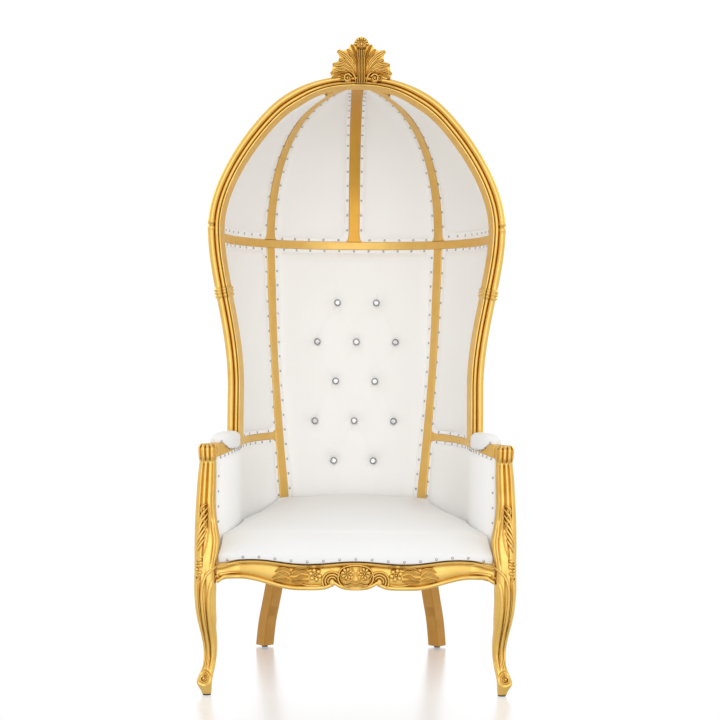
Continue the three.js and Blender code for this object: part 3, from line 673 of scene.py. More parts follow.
def build_hood():
    piece("hood_rib_center", rib(lambda y, across: across), DEEP)
    pair("hood_rib", rib(rib_line), PLAIN)

    def band(u, point):
        z = BAND_Z + point[0]
        start = front_angle(z, point[1])
        return wall_point(z, lerp(start, pi - start, u), point[1])

    section = bar_section(12, -PROUD - 1, SHELL + PROUD)
    piece("hood_band", sweep(180, section, band), PLAIN)

    # Back panels: from the arch, over and down to the band, between centre rib and side rib.
    back_run = 790

    def between_ribs(u, v, offset):
        inner, outer = RIB_HALF + GAP, -RIB_HALF - GAP
        return dome_point(lambda y: lerp(inner, rib_line(y, outer), u), v, offset)

    def back_size(u, v):
        left, right = between_ribs(0, v, 0), between_ribs(1, v, 0)
        return (right - left).length, back_run

    rows = [
        (beside(between_ribs, back_size, side, 0.12, 0.985, 60), NAIL_PACE) for side in (0, 1)
    ]
    rows.append((line_on(between_ribs, (0.03, 0.994), (0.97, 0.994), 30), NAIL_PACE))
    nailed("hood_back_panel", padded_wall(18, 60, back_size, between_ribs, 9), rows)

    # Side panels: three-cornered, between arch, side rib and band.
    top_z, rise = 1604, 500

    def arch_side(u, v, offset):
        z = lerp(BAND_TOP_Z + GAP, top_z, sin(v * pi / 2) ** 0.85)
        return dome_side(z, u, offset)

    def side_size(u, v):
        return breadth(arch_side, v) + 1, rise

    rows = [
        (beside(arch_side, side_size, 0, 0.01, 0.93, 50), CLOSE_PACE),
        (beside(arch_side, side_size, 1, 0.02, 0.9, 50), NAIL_PACE),
        (line_on(arch_side, (0.02, 0.01), (0.98, 0.01), 50), NAIL_PACE),
    ]
    nailed("hood_side_panel", padded_wall(26, 40, side_size, arch_side, 9), rows)


# -------- walls below the band


def build_side_walls():
    low, high = ARM_TOP_Z + 0.6, BAND_FOOT_Z - GAP

    def upper(u, v, offset):
        z = lerp(low, high, v)
        start, end = front_angle(z, offset), beside_post(z, POST_HALF + 0.4)
        return wall_point(z, lerp(start, end, u), offset)

    def upper_size(u, v):
        return breadth(upper, v), high - low

    near, edge = STRIP / breadth(upper, 0.5), STRIP / (high - low)
    rows = [
        (line_on(upper, (near, 0.01), (near, 0.99), 40), CLOSE_PACE),
        (line_on(upper, (1 - near, 0.01), (1 - near, 0.99), 40), NAIL_PACE),
        (line_on(upper, (0, edge), (1, edge), 30), WIDE_PACE),
        (line_on(upper, (0, 1 - edge), (1, 1 - edge), 30), NAIL_PACE),
    ]
    nailed("side_panel", padded_wall(26, 50, upper_size, upper, 10), rows)

    # Arm walls, from the arm posts round to the rear posts.
    foot, head, width = RAIL_TOP_Z + GAP, ARM_LOW_Z - GAP, 560
    arm_out = 30 - SHELL

    def lower(u, v, offset):
        z = lerp(foot, head - arm_dip(u), v)
        return arm_point(z, u, offset + (arm_out if offset > SHELL / 2 else 0))

    def lower_size(u, v):
        return width, head - foot

    near, edge = STRIP / width, STRIP / (head - foot)
    rows = [
        (line_on(lower, (0.01, 1 - edge), (0.4, 1 - edge), 50), DENSE_PACE),
        (line_on(lower, (0.4, 1 - edge), (0.99, 1 - edge), 50), NAIL_PACE),
        (line_on(lower, (1 - near, 0.36), (1 - near, 0.93), 20), NAIL_PACE),
        (line_on(lower, (0.014, 0.14), (0.014, 0.88), 20), NAIL_PACE),
        (line_on(lower, (0.01, 1 - edge), (0.99, 1 - edge), 80, SHELL + 2), DENSE_PACE),
        (line_on(lower, (0.01, edge), (0.99, edge), 80, SHELL + 2), NAIL_PACE),
    ]
    nailed("arm_panel", padded_wall(50, 24, lower_size, lower, 7), rows)


# -------- tufted back


def button_drift(z):
    """The rows of buttons step to the right going up."""
    return lerp(2, 10, smooth(FIRST_BUTTON_Z, TOP_BUTTON_Z, z))


# Crystal buttons in diamond order over the inner back: column, X and Z.
BUTTONS = [
    (column, column * BUTTON_COLUMN + button_drift(z), z)
    for row, z in enumerate(FIRST_BUTTON_Z + i * BUTTON_ROW for i in range(BUTTON_ROWS))
    for column in ((-2, 0, 2) if row % 2 else (-1, 1))
]
TUFT_DEPTH, DIMPLE = 13, 24


def fold_lines():
    """Folds of the tufting: between diagonal neighbours, and out from the outer buttons."""
    folds = []
    for i, (column, x, z) in enumerate(BUTTONS):
        ends = [
            ((other_x, other_z), 5.0) for _, other_x, other_z in BUTTONS[i + 1:]
            if abs(other_z - z) == BUTTON_ROW and abs(other_x - x) < 1.3 * BUTTON_COLUMN
        ]
        if abs(column) == 2:
            ends.append(((copysign(240, column), z + 4), 3.0))
        if z == TOP_BUTTON_Z:
            ends.append(((x + 2 * column, BAND_FOOT_Z), 5.0))
        if z == FIRST_BUTTON_Z:
            ends.append(((x, SEAT_LINE_Z - 30), 4.0))
        folds += [(Vector((x, z)), Vector(end), depth) for end, depth in ends]
    return folds


FOLDS = fold_lines()


def tufting(point, near):
    """Presses the buttons' dimples and the folds between them into the back's padding."""
    spot = Vector((point.x, point.z))
    fade = smooth(8, 40, near)
    dimple = sum(bump((spot - Vector((x, z))).length, 0, DIMPLE) for _, x, z in BUTTONS)
    crease = 0.0
    for a, b, depth in FOLDS:
        run = b - a
        t = min(1, max(0, (spot - a).dot(run) / run.length_squared))
        away = spot - a - run * t
        gap = copysign(away.length, run.x * away.y - run.y * away.x)
        fold = bump(gap, 0, 4.6) - 0.34 * bump(gap, 9, 5.5)
        slack = 1 - 0.86 * sin(pi * t) ** 0.6
        crease += depth * fold * slack * smooth(0.02, 0.1, min(t, 1.04 - t))
    press = TUFT_DEPTH * min(1, dimple) + crease
    point.y += (press - 2.0) * fade
    return point


def build_back():
    low, high = RAIL_TOP_Z + GAP, BAND_FOOT_Z - GAP

    def across_back(u, v, offset):
        z = lerp(low, high, v)
        edge = wall_point(z, 2 * post_angle(z) - beside_post(z, POST_HALF + 0.4), 0).x
        x = lerp(-edge, edge, u)
        if offset > SHELL / 2:
            return Vector((x, back_y(x, z, offset), z))
        return Vector((x, back_y(x, z) + offset, z))

    def back_size(u, v):
        return 2 * across_back(1, v, 0).x, high - low

    bm = padded_wall(76, 120, back_size, across_back, 15, 6, tufting)
    edge = 1 - STRIP / (high - low)
    rows = [
        (beside(across_back, back_size, side, 0.14, 0.995, 60), NAIL_PACE) for side in (0, 1)
    ]
    rows.append((line_on(across_back, (0.02, edge), (0.98, edge), 40), NAIL_PACE))
    tree = tree_of(nailed("back_panel", bm, rows, make=piece)[0])

    # Crystal buttons: a nickel cup round a stone cut in two tiers of facets. A tier has its
    # number of sides, lower and upper radius, foot and height.
    tiers = (12, 8.3, 6.2, 3.4, 2.8), (6, 6.2, 3.6, 6.2, 1.6)
    cup_profile = (
        (0, -1), (7.3, -0.6), (9.7, 1.2), (10, 3.5), (9.2, 4.8), (8.4, 4.6), (8.0, 3.2), (0, 3.0),
    )
    for i, (_, x, z) in enumerate(BUTTONS, 1):
        normal = Vector((-0.25 * x / 118, -1, 0.12)).normalized()
        seat = Matrix.Translation(met(tree, x, z, 300) + normal * 2.2)
        turn = seat @ normal.to_track_quat("Z", "Y").to_matrix().to_4x4()
        stone = bmesh.new()
        for sides, low_r, high_r, base, height in tiers:
            bmesh.ops.create_cone(
                stone, cap_ends=True, segments=sides, radius1=low_r, radius2=high_r, depth=height,
                matrix=turn @ Matrix.Rotation(chance.uniform(0, 1), 4, "Z")
                @ Matrix.Translation((0, 0, base + height / 2)),
            )
        piece(f"crystal_button_{i}", stone, CRYSTAL, FACETS)
        cup = bmesh.new()
        points = [cup.verts.new((radius, 0, height)) for radius, height in cup_profile]
        edges = [cup.edges.new(ends) for ends in zip(points, points[1:])]
        bmesh.ops.spin(
            cup, geom=points + edges, cent=(0, 0, 0), axis=(0, 0, 1), angle=2 * pi,
            steps=28, use_merge=True,
        )
        bmesh.ops.remove_doubles(cup, verts=cup.verts, dist=1e-3)
        bmesh.ops.recalc_face_normals(cup, faces=cup.faces)
        cup.transform(turn)
        piece(f"button_cup_{i}", cup, CUP, CARVED)


# -------- seat and arm pads


CLOTH_FRAMES = 20
CLOTH_REACH = 6
NOTCH_X = 56  # where the front rail's lower edge is notched, beside its middle lobe
CORNER = 0.12  # share of the seat's depth that lies in front of the arms
SEAT_CROWN_Z = 479
SEAT_EDGE_Z = 412


def applied(made):
    """Works an object's modifiers into its mesh."""
    worked = made.evaluated_get(bpy.context.evaluated_depsgraph_get())
    made.data = bpy.data.meshes.new_from_object(worked)
    made.modifiers.clear()


def filled(bm, held):
    """Fills a closed cover out as cloth under pressure; held(point) is 1 where it is tacked down."""
    bm.transform(Matrix.Scale(MM, 4))
    made = linked("cover", bpy.data.meshes.new("cover"))
    bm.to_mesh(made.data)
    bm.clear()
    tacks = made.vertex_groups.new(name="tacks")
    start = [vert.co.copy() for vert in made.data.vertices]
    for i, spot in enumerate(start):
        tacks.add([i], held(spot / MM), "REPLACE")
    cloth = made.modifiers.new("cloth", "CLOTH")
    cloth.point_cache.frame_start, cloth.point_cache.frame_end = 1, CLOTH_FRAMES
    cloth.collision_settings.use_collision = False
    fabric = cloth.settings
    fabric.vertex_group_mass = tacks.name
    fabric.quality = 5
    fabric.use_pressure = True
    fabric.uniform_pressure_force = 4.0
    fabric.effector_weights.gravity = 0.0
    for step in range(CLOTH_FRAMES):
        bpy.context.scene.frame_set(step + 1)
    applied(made)
    for vert, spot in zip(made.data.vertices, start):
        move = vert.co - spot
        vert.co = spot + move * min(1, CLOTH_REACH * MM / max(1e-9, move.length))
    bpy.context.scene.frame_set(1)
    finer = made.modifiers.new("finer", "SUBSURF")
    finer.levels = finer.render_levels = 1
    applied(made)
    bm.from_mesh(made.data)
    bm.transform(Matrix.Scale(1 / MM, 4))
    bpy.data.objects.remove(made)
    return bm


def seat_side(v):
    """The seat's right edge in plan, from front (0) to back (1)."""
    if v < CORNER:
        return Vector((SEAT_HALF, lerp(-12, ARM_FRONT_Y, v / CORNER)))
    point = arm_point(420, (v - CORNER) / (1 - CORNER), -3)
    return Vector((min(point.x, SEAT_HALF), point.y - 4))


# The front rail's upper and lower edges and its face, all wavy along X.


def rail_top(x):
    out = abs(x)
    wave = 4 * cos(pi * x / 130)
    return 349.5 + wave + 2.3 * smooth(150, 260, out) - 8 * smooth(300, RAIL_END_X, out)


def rail_foot(x):
    out = abs(x)
    if out < NOTCH_X:
        return 280 + 15 * (out / NOTCH_X) ** 3
    scallop = 16 * exp((NOTCH_X - out) / 14)
    return 279 + scallop + 27 * smooth(150, 300, out) - 11 * smooth(340, RAIL_END_X, out)


def rail_front(x):
    out = abs(x) / RAIL_END_X
    return -45 + 37 * out**2.2 - 22 * smooth(0.83, 1, out)


def build_seat():
    def place(u, t, layer):
        u = 2 * u - 1
        u = copysign(1 - (1 - abs(u)) ** 1.25, u)
        v = t**1.25
        side = seat_side(v)
        bow = 1 - u * u
        x = u * side.x
        y = side.y - (1 - v) * 34 * bow + v**3 * 44 * bow
        middle = SEAT_CROWN_Z - 107 * (1 - v) ** 5 - 11 * v**6
        edge = SEAT_EDGE_Z + 10 * sin(pi * v) + 11 * bump(v, 0.4, 0.18)
        edge += 58 * v**5 - 44 * (1 - v) ** 12
        z = rail_top(x) + 3 if layer else lerp(middle, edge, abs(u) ** 2.5)
        # The front corners are drawn down and out between the legs and the rail.
        x += 8 * u**9 * bump(z, 362, 24) * smooth(0.2, 0.02, v)
        return Vector((x, y, z))

    def held(spot):
        low = rail_top(spot.x) + 3
        corner = smooth(326, 346, abs(spot.x)) * smooth(90, 40, spot.y)
        return max(smooth(low + 20, low + 6, spot.z), corner, 0.02)

    bm = filled(wall(90, 72, place), held)
    seat = piece("seat_cushion", bm, DARKENED_HIDE, SOFT, ["seat_pad"])[0]
    return seat


def nail_seat(seat):
    """Drives the seat's nails along the front rail's wavy edge."""
    tree = tree_of(seat)

    def over_rail(t):
        x = lerp(-SEAT_HALF - 2, SEAT_HALF + 2, t)
        z = rail_top(x) + 9
        return met(tree, x, z, -300) or Vector((x, 0, z))

    heads = bmesh.new()
    nail_row(heads, samples(120, over_rail), 42, tree)
    piece("seat_cushion_nails", heads, NICKEL, SOFT)


def build_arm_pads():
    """Rounded pads along the arms, which lap down over the rails' inner sides."""
    front, back = 60, ARCH_FRONT_Y - 2
    bm = bmesh.new()
    bmesh.ops.create_uvsphere(bm, u_segments=56, v_segments=36, radius=1)
    for vert in bm.verts:
        across, along, up = (copysign(abs(c) ** 0.68, c) for c in vert.co)
        y = lerp(front, back, (along + 1) / 2)
        centre = ARM_PAD_X + arm_flare(y)
        lap = 26 * smooth(-0.62, -0.86, across) + 0.2
        z = ARM_TOP_Z + GAP + up * (28 if up > 0 else lap)
        vert.co = (centre + across * (24 if across > 0 else 27), y, z)
    bmesh.ops.remove_doubles(bm, verts=bm.verts, dist=0.05)
    bmesh.ops.recalc_face_normals(bm, faces=bm.faces)

    def rim(t):
        turn = lerp(1.45, 0.62, t) * pi
        y = lerp(front, back, (1 + bent(sin(turn)) * 0.99) / 2)
        across = bent(cos(turn))
        z = ARM_TOP_Z + lerp(6, -19, smooth(-0.4, -0.9, across))
        return Vector((ARM_PAD_X + arm_flare(y) + 27 * across, y, z))

    def outer_rim(t):
        y = lerp(front + 10, back - 6, t)
        return Vector((ARM_PAD_X + 24 + arm_flare(y), y, ARM_TOP_Z + 6))

    rows = [(samples(60, rim), DENSE_PACE), (samples(40, outer_rim), DENSE_PACE)]
    nailed("arm_pad", bm, rows, DARKENED_HIDE)


# -------- posts, bands and rails


def build_frame_bars():
    line = [wall_point(z, post_angle(z), SHELL / 2) for z in (1197.7, 1090, 960, 830, 700, 580, 470)]
    seat = line[-1]
    line += [
        seat + Vector((1, 3, -110)), seat + Vector((7, 19, -190)),
        Vector((236, 640, 165)), Vector((251, 687, 85)), Vector((260, 719, 6)),
    ]

    section = bar_section(1, -1, 1, 0.14)

    def post(u, point):
        centre = flowing(line, u)
        z = max(centre.z, SEAT_LINE_Z)
        angle = post_angle(z)
        along = (wall_point(z, angle + 0.01) - wall_point(z, angle - 0.01)).normalized()
        outward = Vector((along.y, -along.x, 0))
        slim = smooth(RAIL_TOP_Z, SEAT_LINE_Z, centre.z)
        across = point[0] * lerp(20, POST_HALF, slim)
        return centre + along * across + outward * point[1] * lerp(20, SHELL / 2 + PROUD, slim)

    pair("rear_post", sweep(110, section, post), PLAIN)

    behind_arch = 0.43

    def rail(u, point):
        run = lerp(0, behind_arch, u)
        place = arm_point(ARM_MIDDLE_Z + point[0], run, point[1])
        place.z -= arm_dip(run) * (point[0] < 0)
        return place

    pair("arm_rail", sweep(50, bar_section(10, -4, ARM_OUTER, 3), rail), PLAIN)

    def arm_band(u, point):
        run = lerp(behind_arch + 0.001, 1, u)
        fillet = 9 * (exp(-u * 28) + exp(-(1 - u) * 28))
        up = point[0] + (fillet if point[0] > 0 else -fillet)
        return arm_point(ARM_MIDDLE_Z + up, run, point[1])

    pair("arm_band", sweep(90, bar_section(10, -PROUD, ARM_OUTER, 1.8), arm_band), PLAIN)

    # The side and back rails carry a bead along their lower and upper edges.
    section = [
        (-30, 2), (-30, 30), (-26, 34), (-21, 34), (-18, 30), (12, 30), (16, 33), (26, 33),
        (30, 30), (30, 0), (-24, 0),
    ]

    def side_rail(u, point):
        return arm_point(RAIL_MIDDLE_Z + point[0], u, point[1], 24)

    pair("side_rail", sweep(80, section, side_rail), PLAIN)

    def back_rail(u, point):
        z = RAIL_MIDDLE_Z + point[0]
        start = 2 * post_angle(z) - beside_post(z, POST_HALF + 0.6)
        return wall_point(z, lerp(start, pi - start, u), point[1] - 4)

    piece("back_rail", sweep(50, section, back_rail), PLAIN)


# -------- arch

# The moulding across from the outer edge, and back from the front: a big bead, a small bead,
# a fillet and the hollow reveal behind it.
ARCH_SECTION = [
    (0, 45), (0, 12), (1.2, 7.2), (4, 3.2), (7.5, 0.9), (11, 0.2), (14.4, 1.7), (17.2, 4.9),
    (18.8, 8.6), (20.4, 5.4), (22.6, 3), (25, 2.4), (27.2, 3.6), (28.8, 6.4), (30, 10.5),
    (30.6, 6.8), (32, 6), (33.8, 6.2), (34.8, 8), (36, 14), (38, 24), (41, 35), (44, 45),
]


def arch_line():
    """The arch's outer edge on the right, from the crown to the arm."""
    curves = [
        ((0, 1646), (91, 1646), (178, 1620), (242, 1556)),
        ((242, 1556), (302, 1496), (405, 1360), (405, 1231)),
        ((405, 1231), (405, 1100), (348, 960), (348, 800)),
    ]
    points = []
    for a, b, c, d in curves:
        points += interpolate_bezier(Vector(a), Vector(b), Vector(c), Vector(d), 90)[:-1]
    return points + [Vector((348, 800)), Vector((349, 655.3))]


ARCH_WIDTH = 44
ARCH_CROWN_Z = 1646
COLLAR_Z = 1052
JOINT_Z = 1239


def arch_stations():
    """Points and directions along the arch, closer together where it is carved."""
    line = arch_line()
    lengths = reaches(line)
    stations, reach = [], 0.0
    while reach < lengths[-1]:
        k, point = spot_at(line, lengths, reach)
        stations.append((point, (line[k + 1] - line[k]).normalized()))
        carved = abs(point.y - COLLAR_Z) < 20 or abs(point.y - JOINT_Z) < 26
        reach += 1.6 if carved else 7
    stations.append((line[-1], Vector((0, -1))))
    return stations


def build_arch():
    stations = arch_stations()
    run = [(Vector((-p.x, p.y)), Vector((t.x, -t.y))) for p, t in reversed(stations[1:])] + stations
    last = len(run) - 1

    def place(u, point):
        across, back = point
        spot, tangent = run[round(u * last)]
        z = spot.y
        inward = Vector((tangent.y, -tangent.x))
        width = lerp(ARCH_WIDTH - 1, ARCH_WIDTH, smooth(COLLAR_Z - 12, COLLAR_Z + 12, z))
        width = lerp(width, 34, smooth(1600, ARCH_CROWN_Z, z))
        share = across / ARCH_WIDTH
        knuckle = 4.5 * (bump(z, COLLAR_Z + 8, 4) + bump(z, COLLAR_Z, 3) + bump(z, COLLAR_Z - 9, 4))
        notch = 3.2 * bump(z, JOINT_Z, 2.6) * (across < 20)
        leaves = 1.8 * (bump(z, JOINT_Z + 9, 6) + bump(z, JOINT_Z - 9, 6)) * (across < 20)
        swell = knuckle + leaves - notch
        reach = share * width + swell * (2 * share - 1) * (1 if knuckle > 0.2 else 0.4)
        spot = spot + inward * reach
        y = ARCH_FRONT_Y + back - swell * (back < 12)
        return Vector((spot.x, y, spot.y))

    bm = add(sweep(last, ARCH_SECTION, place), build_crest())
    piece("hood_arch", bm, GOLD, CARVED, ["hood_arch", "hood_stile_right", "hood_stile_left"])


# -------- carving

# Section of a strand of carving: across, and forward of the ground that it lies on.
STRAND = [
    (-1, 0.15), (-0.93, -0.38), (-0.7, -0.74), (-0.35, -0.95), (0, -1), (0.35, -0.95),
    (0.7, -0.74), (0.93, -0.38), (1, 0.15), (0, 0.6),
]


def tapered(t, first=0.35, last=0.12, full=0.4):
    """Width of a leaf along its run: part of its full width at each end."""
    if t < full:
        return lerp(first, 1, sin(t / full * pi / 2))
    return lerp(last, 1, cos((t - full) / (1 - full) * pi / 2))


def even(t):
    return min(1, 0.25 + 9 * min(t, 1 - t))


def full_width(t):
    return 1


def flat_ground(y):
    """Flat ground for carving."""
    return lambda x, z: y


def strand(bm, points, width, height, ground, shape=tapered, steps=14, ease=2):
    """Lays a rounded strand of carving along (x, z) points; ground(x, z) is the Y behind it."""
    points = [Vector(p) for p in points]
    spots = [flowing(points, i / steps) for i in range(steps + 1)]
    depths = [ground(p.x, p.y) for p in spots]
    for _ in range(ease):
        depths = [
            (depths[max(0, i - 1)] + 2 * depths[i] + depths[min(steps, i + 1)]) / 4
            for i in range(steps + 1)
        ]

    def place(u, point):
        i = round(u * steps)
        run = (spots[min(steps, i + 1)] - spots[max(0, i - 1)]).normalized()
        size = max(0.03, shape(i / steps))
        side = Vector((-run.y, run.x)) * point[0] * width * 0.5 * size
        y = depths[i] + point[1] * height * size**0.6
        return Vector((spots[i].x + side.x, y, spots[i].y + side.y))

    return add(bm, sweep(steps, STRAND, place))


def blunt(t):
    """Width of a frond: it swells all the way and ends broad."""
    return min(lerp(0.42, 1, sin(min(1, t / 0.75) * pi / 2)), 0.55 + 3 * (1 - t))


def frond(bm, points, width, height, ground, shape=blunt, steps=16):
    """A fluted leaf: three ridges side by side that part from the root to the tip."""
    line = [Vector(p) for p in points]
    for rank, share in ((-1, 0.9), (1, 0.9), (0, 1)):
        ridge = []
        for i, point in enumerate(line):
            run = (line[min(len(line) - 1, i + 1)] - line[max(0, i - 1)]).normalized()
            apart = rank * width * 0.31 * shape(i / (len(line) - 1))
            ridge.append(point + Vector((-run.y, run.x)) * apart)
        strand(bm, ridge, width * 0.4, height * share, ground, shape, steps)


def spiral(x, z, radius, turns, start, way=1):
    """Points of a volute that winds in to its eye."""
    def spot(t):
        angle, reach = start + way * turns * 2 * pi * t, lerp(radius, radius * 0.2, t)
        return x + reach * cos(angle), z + reach * sin(angle)

    return samples(10, spot)


def boss(bm, place, size, turn=0.0, sides=10, rows=7):
    """Adds a rounded lump of carving, turned in the plane of the front."""
    matrix = Matrix.Translation(place) @ Matrix.Rotation(turn, 4, "Y") @ Matrix.Diagonal((*size, 1))
    bmesh.ops.create_uvsphere(bm, u_segments=sides, v_segments=rows, radius=1, matrix=matrix)


def rosette(bm, x, z, radius, ground, petals=5):
    """Adds a round flower: cupped petals about a ringed heart."""
    y = ground(x, z)
    for i in range(petals):
        turn = 2 * pi * (i + 0.25) / petals
        reach = radius * 0.66
        spot = (x + reach * cos(turn), y - 1.2, z + reach * sin(turn))
        boss(bm, spot, (radius * 0.38, 4.6, radius * (2.0 / petals)), -turn)
    heart = ring(x, z, radius * 0.34, 13)
    strand(bm, heart, radius * 0.17, 3.4, flat_ground(y - 2.4), full_width, 16)
    boss(bm, (x, y - 2.2, z), (radius * 0.2, 4.2, radius * 0.2))


def ground_of(*meshes):
    """The front surface of some meshes: a function from (x, z) to Y."""
    whole = bmesh.new()
    for bm in meshes:
        add(whole, bm.copy())
    tree = BVHTree.FromBMesh(whole)
    whole.free()

    def ground(x, z):
        spot = met(tree, x, z, -400)
        return spot.y if spot else 0.0

    return ground


# -------- crest

# Fronds of the palmette's right half: points from root to tip, and width.
CREST_FRONDS = [
    ([(9, 1652), (11, 1678), (16, 1702), (24, 1722), (29, 1728)], 8),
    ([(11, 1650), (16, 1676), (25, 1698), (38, 1716)], 11),
    ([(12, 1646), (20, 1671), (36, 1692), (50, 1703), (65, 1711)], 16),
    ([(14, 1643), (27, 1667), (42, 1682), (61, 1688)], 12),
    ([(16, 1640), (28, 1659), (45, 1671), (62, 1675), (78, 1673)], 14),
    ([(19, 1637), (32, 1654), (50, 1661), (67, 1659), (83, 1649)], 13),
    ([(25, 1634), (37, 1648), (52, 1651), (66, 1646), (79, 1637)], 10),
]
# Outline of the plate behind them: angle from upright in degrees, and reach from the root.
CREST_EDGE = [
    (0, 112), (8, 110), (14, 97), (19, 99), (23, 90), (28, 94), (33, 90), (40, 99), (44, 90),
    (47, 81), (51, 82), (56, 78), (61, 87), (72, 85), (82, 85), (93, 60),
]
CREST_ROOT_Z = 1634
VOLUTES_Z = 1637
LOBE_Z = 1730
CREST_X = 8


def build_crest():
    def plate(u, v, layer):
        turn = abs(2 * u - 1) * 93
        k = max(i for i in range(len(CREST_EDGE) - 1) if CREST_EDGE[i][0] <= turn)
        (low, near), (high, far) = CREST_EDGE[k], CREST_EDGE[k + 1]
        reach = lerp(near, far, (turn - low) / (high - low)) * lerp(0.1, 1, v) * 0.985
        angle = copysign(radians(turn), 2 * u - 1)
        y = ARCH_FRONT_Y + (lerp(28, 17, v) if layer else 6 - 3 * v)
        return Vector((reach * sin(angle), y, CREST_ROOT_Z + reach * cos(angle)))

    def on_plate(lift):
        return flat_ground(ARCH_FRONT_Y + 5 - lift)

    bm = wall(90, 6, plate)
    half = bmesh.new()
    for points, width in CREST_FRONDS:
        frond(half, points, width, 8, on_plate(0), steps=20)
    # The lobe's rim is fluted like a shell, over a hooded bud.
    for turn in range(4):
        angle = radians(9 + 27 * turn)
        shell = [
            (reach * sin(angle), LOBE_Z + reach * 0.95 * cos(angle)) for reach in (10, 19.5)
        ]
        strand(half, shell, 8.5, 6, on_plate(5), blunt, 8)
    strand(half, [(1, 1721), (7, 1722), (10, 1729), (6, 1736), (0.5, 1735)], 4.5, 6, on_plate(8))
    for x, radius, start, way in ((37, 11.5, 0.9, -1), (50, 8, 0.35, 1)):
        volute = spiral(x, VOLUTES_Z, radius, 1.6, pi * start, way)
        strand(half, volute, radius * 0.55, 9, on_plate(7), lambda t: 1 - 0.5 * t, 30)
        boss(half, (x, ARCH_FRONT_Y - 5, VOLUTES_Z), (radius * 0.33, 5, radius * 0.33))
        boss(half, (x, ARCH_FRONT_Y + 2, VOLUTES_Z), (radius, 6, radius), sides=16)
    strand(half, [(14, 1624), (17, 1640), (27, 1652), (40, 1653)], 6, 9, on_plate(4))
    add(bm, half, Matrix(), MIRROR)
    # The stem's flutes open out towards the lobe.
    for lean in (-2, -1, 0, 1, 2):
        flute = [(lean * 4.9, 1622), (lean * 4.1, 1650), (lean * 4.3, 1690), (lean * 6, 1719)]
        strand(bm, flute, 4.4, 9, on_plate(2.5), even, 16)
    boss(bm, (0, ARCH_FRONT_Y + 6, LOBE_Z), (18, 9, 17.5), sides=24)
    boss(bm, (0, ARCH_FRONT_Y - 3, LOBE_Z - 1), (4.5, 5, 5.5))
    bm.transform(Matrix.Translation((CREST_X, 0, 0)))
    return bm


# -------- front legs

# Down the right leg: height, outer and inner X, front and back Y.
LEG_PROFILE = [
    (655, 408, 369.5, -2, 38), (651, 412, 366.5, -8, 42), (645, 413.5, 365, -12, 44),
    (634, 413, 365, -12, 44), (620, 412, 365, -11, 44), (614, 411, 366.5, -7, 42.5),
    (609, 410, 367, -5, 42), (590, 412, 366.5, -6, 41), (565, 414.5, 366.5, -8, 40),
    (538, 416, 367, -11, 38), (512, 417.5, 367.5, -14, 36), (486, 418.5, 366.5, -18, 33),
    (460, 419.5, 363.5, -22, 30), (434, 420, 359.5, -26, 27), (408, 420, 355, -30, 24),
    (382, 420, 356.5, -33, 23), (356, 419.5, 361, -36, 22), (330, 419.5, 364.5, -37, 21),
    (304, 420, 364, -38, 20), (278, 420, 363, -37, 19), (252, 418.5, 363.5, -35, 18),
    (225, 416, 363, -32, 17.5), (199, 411.5, 362, -28, 17), (173, 405.5, 362.5, -22, 18),
    (147, 398.5, 360.5, -16, 19), (126, 394, 360, -13, 19.5), (105, 393, 361, -12, 20),
    (87, 395, 363, -14, 18.5), (69, 399.5, 366, -17, 17), (56, 405.5, 369, -22, 15.5),
    (43, 410.5, 371.5, -26, 14), (34, 412, 372.5, -26, 13), (26, 409, 373, -22, 12.5),
    (14, 402, 373.5, -17, 11.5), (4, 398, 374.5, -13, 11),
]


# Flutes down a leg's front: place across it and half width as shares, and depth.
UPPER_FLUTES = (0.42, 0.1, 5), (-0.1, 0.11, 5.5), (-0.62, 0.07, 3)
KNEE_FLUTES = (0.29, 0.05, 2.8), (-0.5, 0.05, 3.2), (-0.78, 0.05, 3)
LOWER_FLUTES = (0.43, 0.06, 3), (-0.08, 0.06, 3.2), (-0.8, 0.05, 2)
FOOT_X, FOOT_Z = 393, 48  # the eye of the foot's volute


def leg_relief(side, z):
    """Depth of the flutes in a leg's front; side is 1 at its outer edge and -1 at its inner."""
    if z > 610:
        return 5 * (0.5 - 0.5 * cos(side * 12.6 + 0.6)) ** 3 * smooth(606, 616, z)
    stretches = (
        (smooth(420, 470, z) * smooth(612, 602, z), UPPER_FLUTES),
        (smooth(500, 440, z) * smooth(318, 372, z), KNEE_FLUTES),
        (smooth(340, 300, z) * smooth(60, 92, z), LOWER_FLUTES),
    )
    return sum(
        share * depth * bump(side, middle, reach)
        for share, flutes in stretches for middle, reach, depth in flutes
    )


def leg_section():
    """Unit outline of a leg, with most points over its carved front."""
    def corner(side):
        return max(0, 1 - abs(side) ** 3.33) ** 0.3

    front = [(side, -corner(side)) for side in (0.98 - 1.96 * i / 38 for i in range(39))]
    inner = [(-1, y) for y in (-0.35, 0, 0.35)]
    back = [(side, corner(side)) for side in (-0.97, -0.85, -0.55, 0, 0.55, 0.85, 0.97)]
    return front + inner + back + [(1, y) for y in (0.35, 0, -0.35)]


def bare_leg():
    profile = [Vector(row) for row in LEG_PROFILE]

    def place(u, point):
        z, outer, inner, front, back = flowing(profile, u)
        side, deep = point
        x = (outer + inner) / 2 + (outer - inner) / 2 * side
        y = (front + back) / 2 + (back - front) / 2 * deep
        if deep < 0:
            groove = leg_relief(side, z) * min(1, -deep * 1.2)
            y += groove + 4.5 * bump(hypot(x - FOOT_X, z - FOOT_Z), 15.5, 4)
            z -= groove * 1.2 * smooth(642, 655, z)
        else:
            y -= 1.5 * bump(side, 0, 0.25) * smooth(640, 600, z) * smooth(60, 100, z)
        if abs(side) == 1:
            x -= side * 2.2 * bump(deep, 0, 0.2) * smooth(600, 560, z) * smooth(60, 110, z)
        return Vector((x, y, z))

    return sweep(190, leg_section(), place)


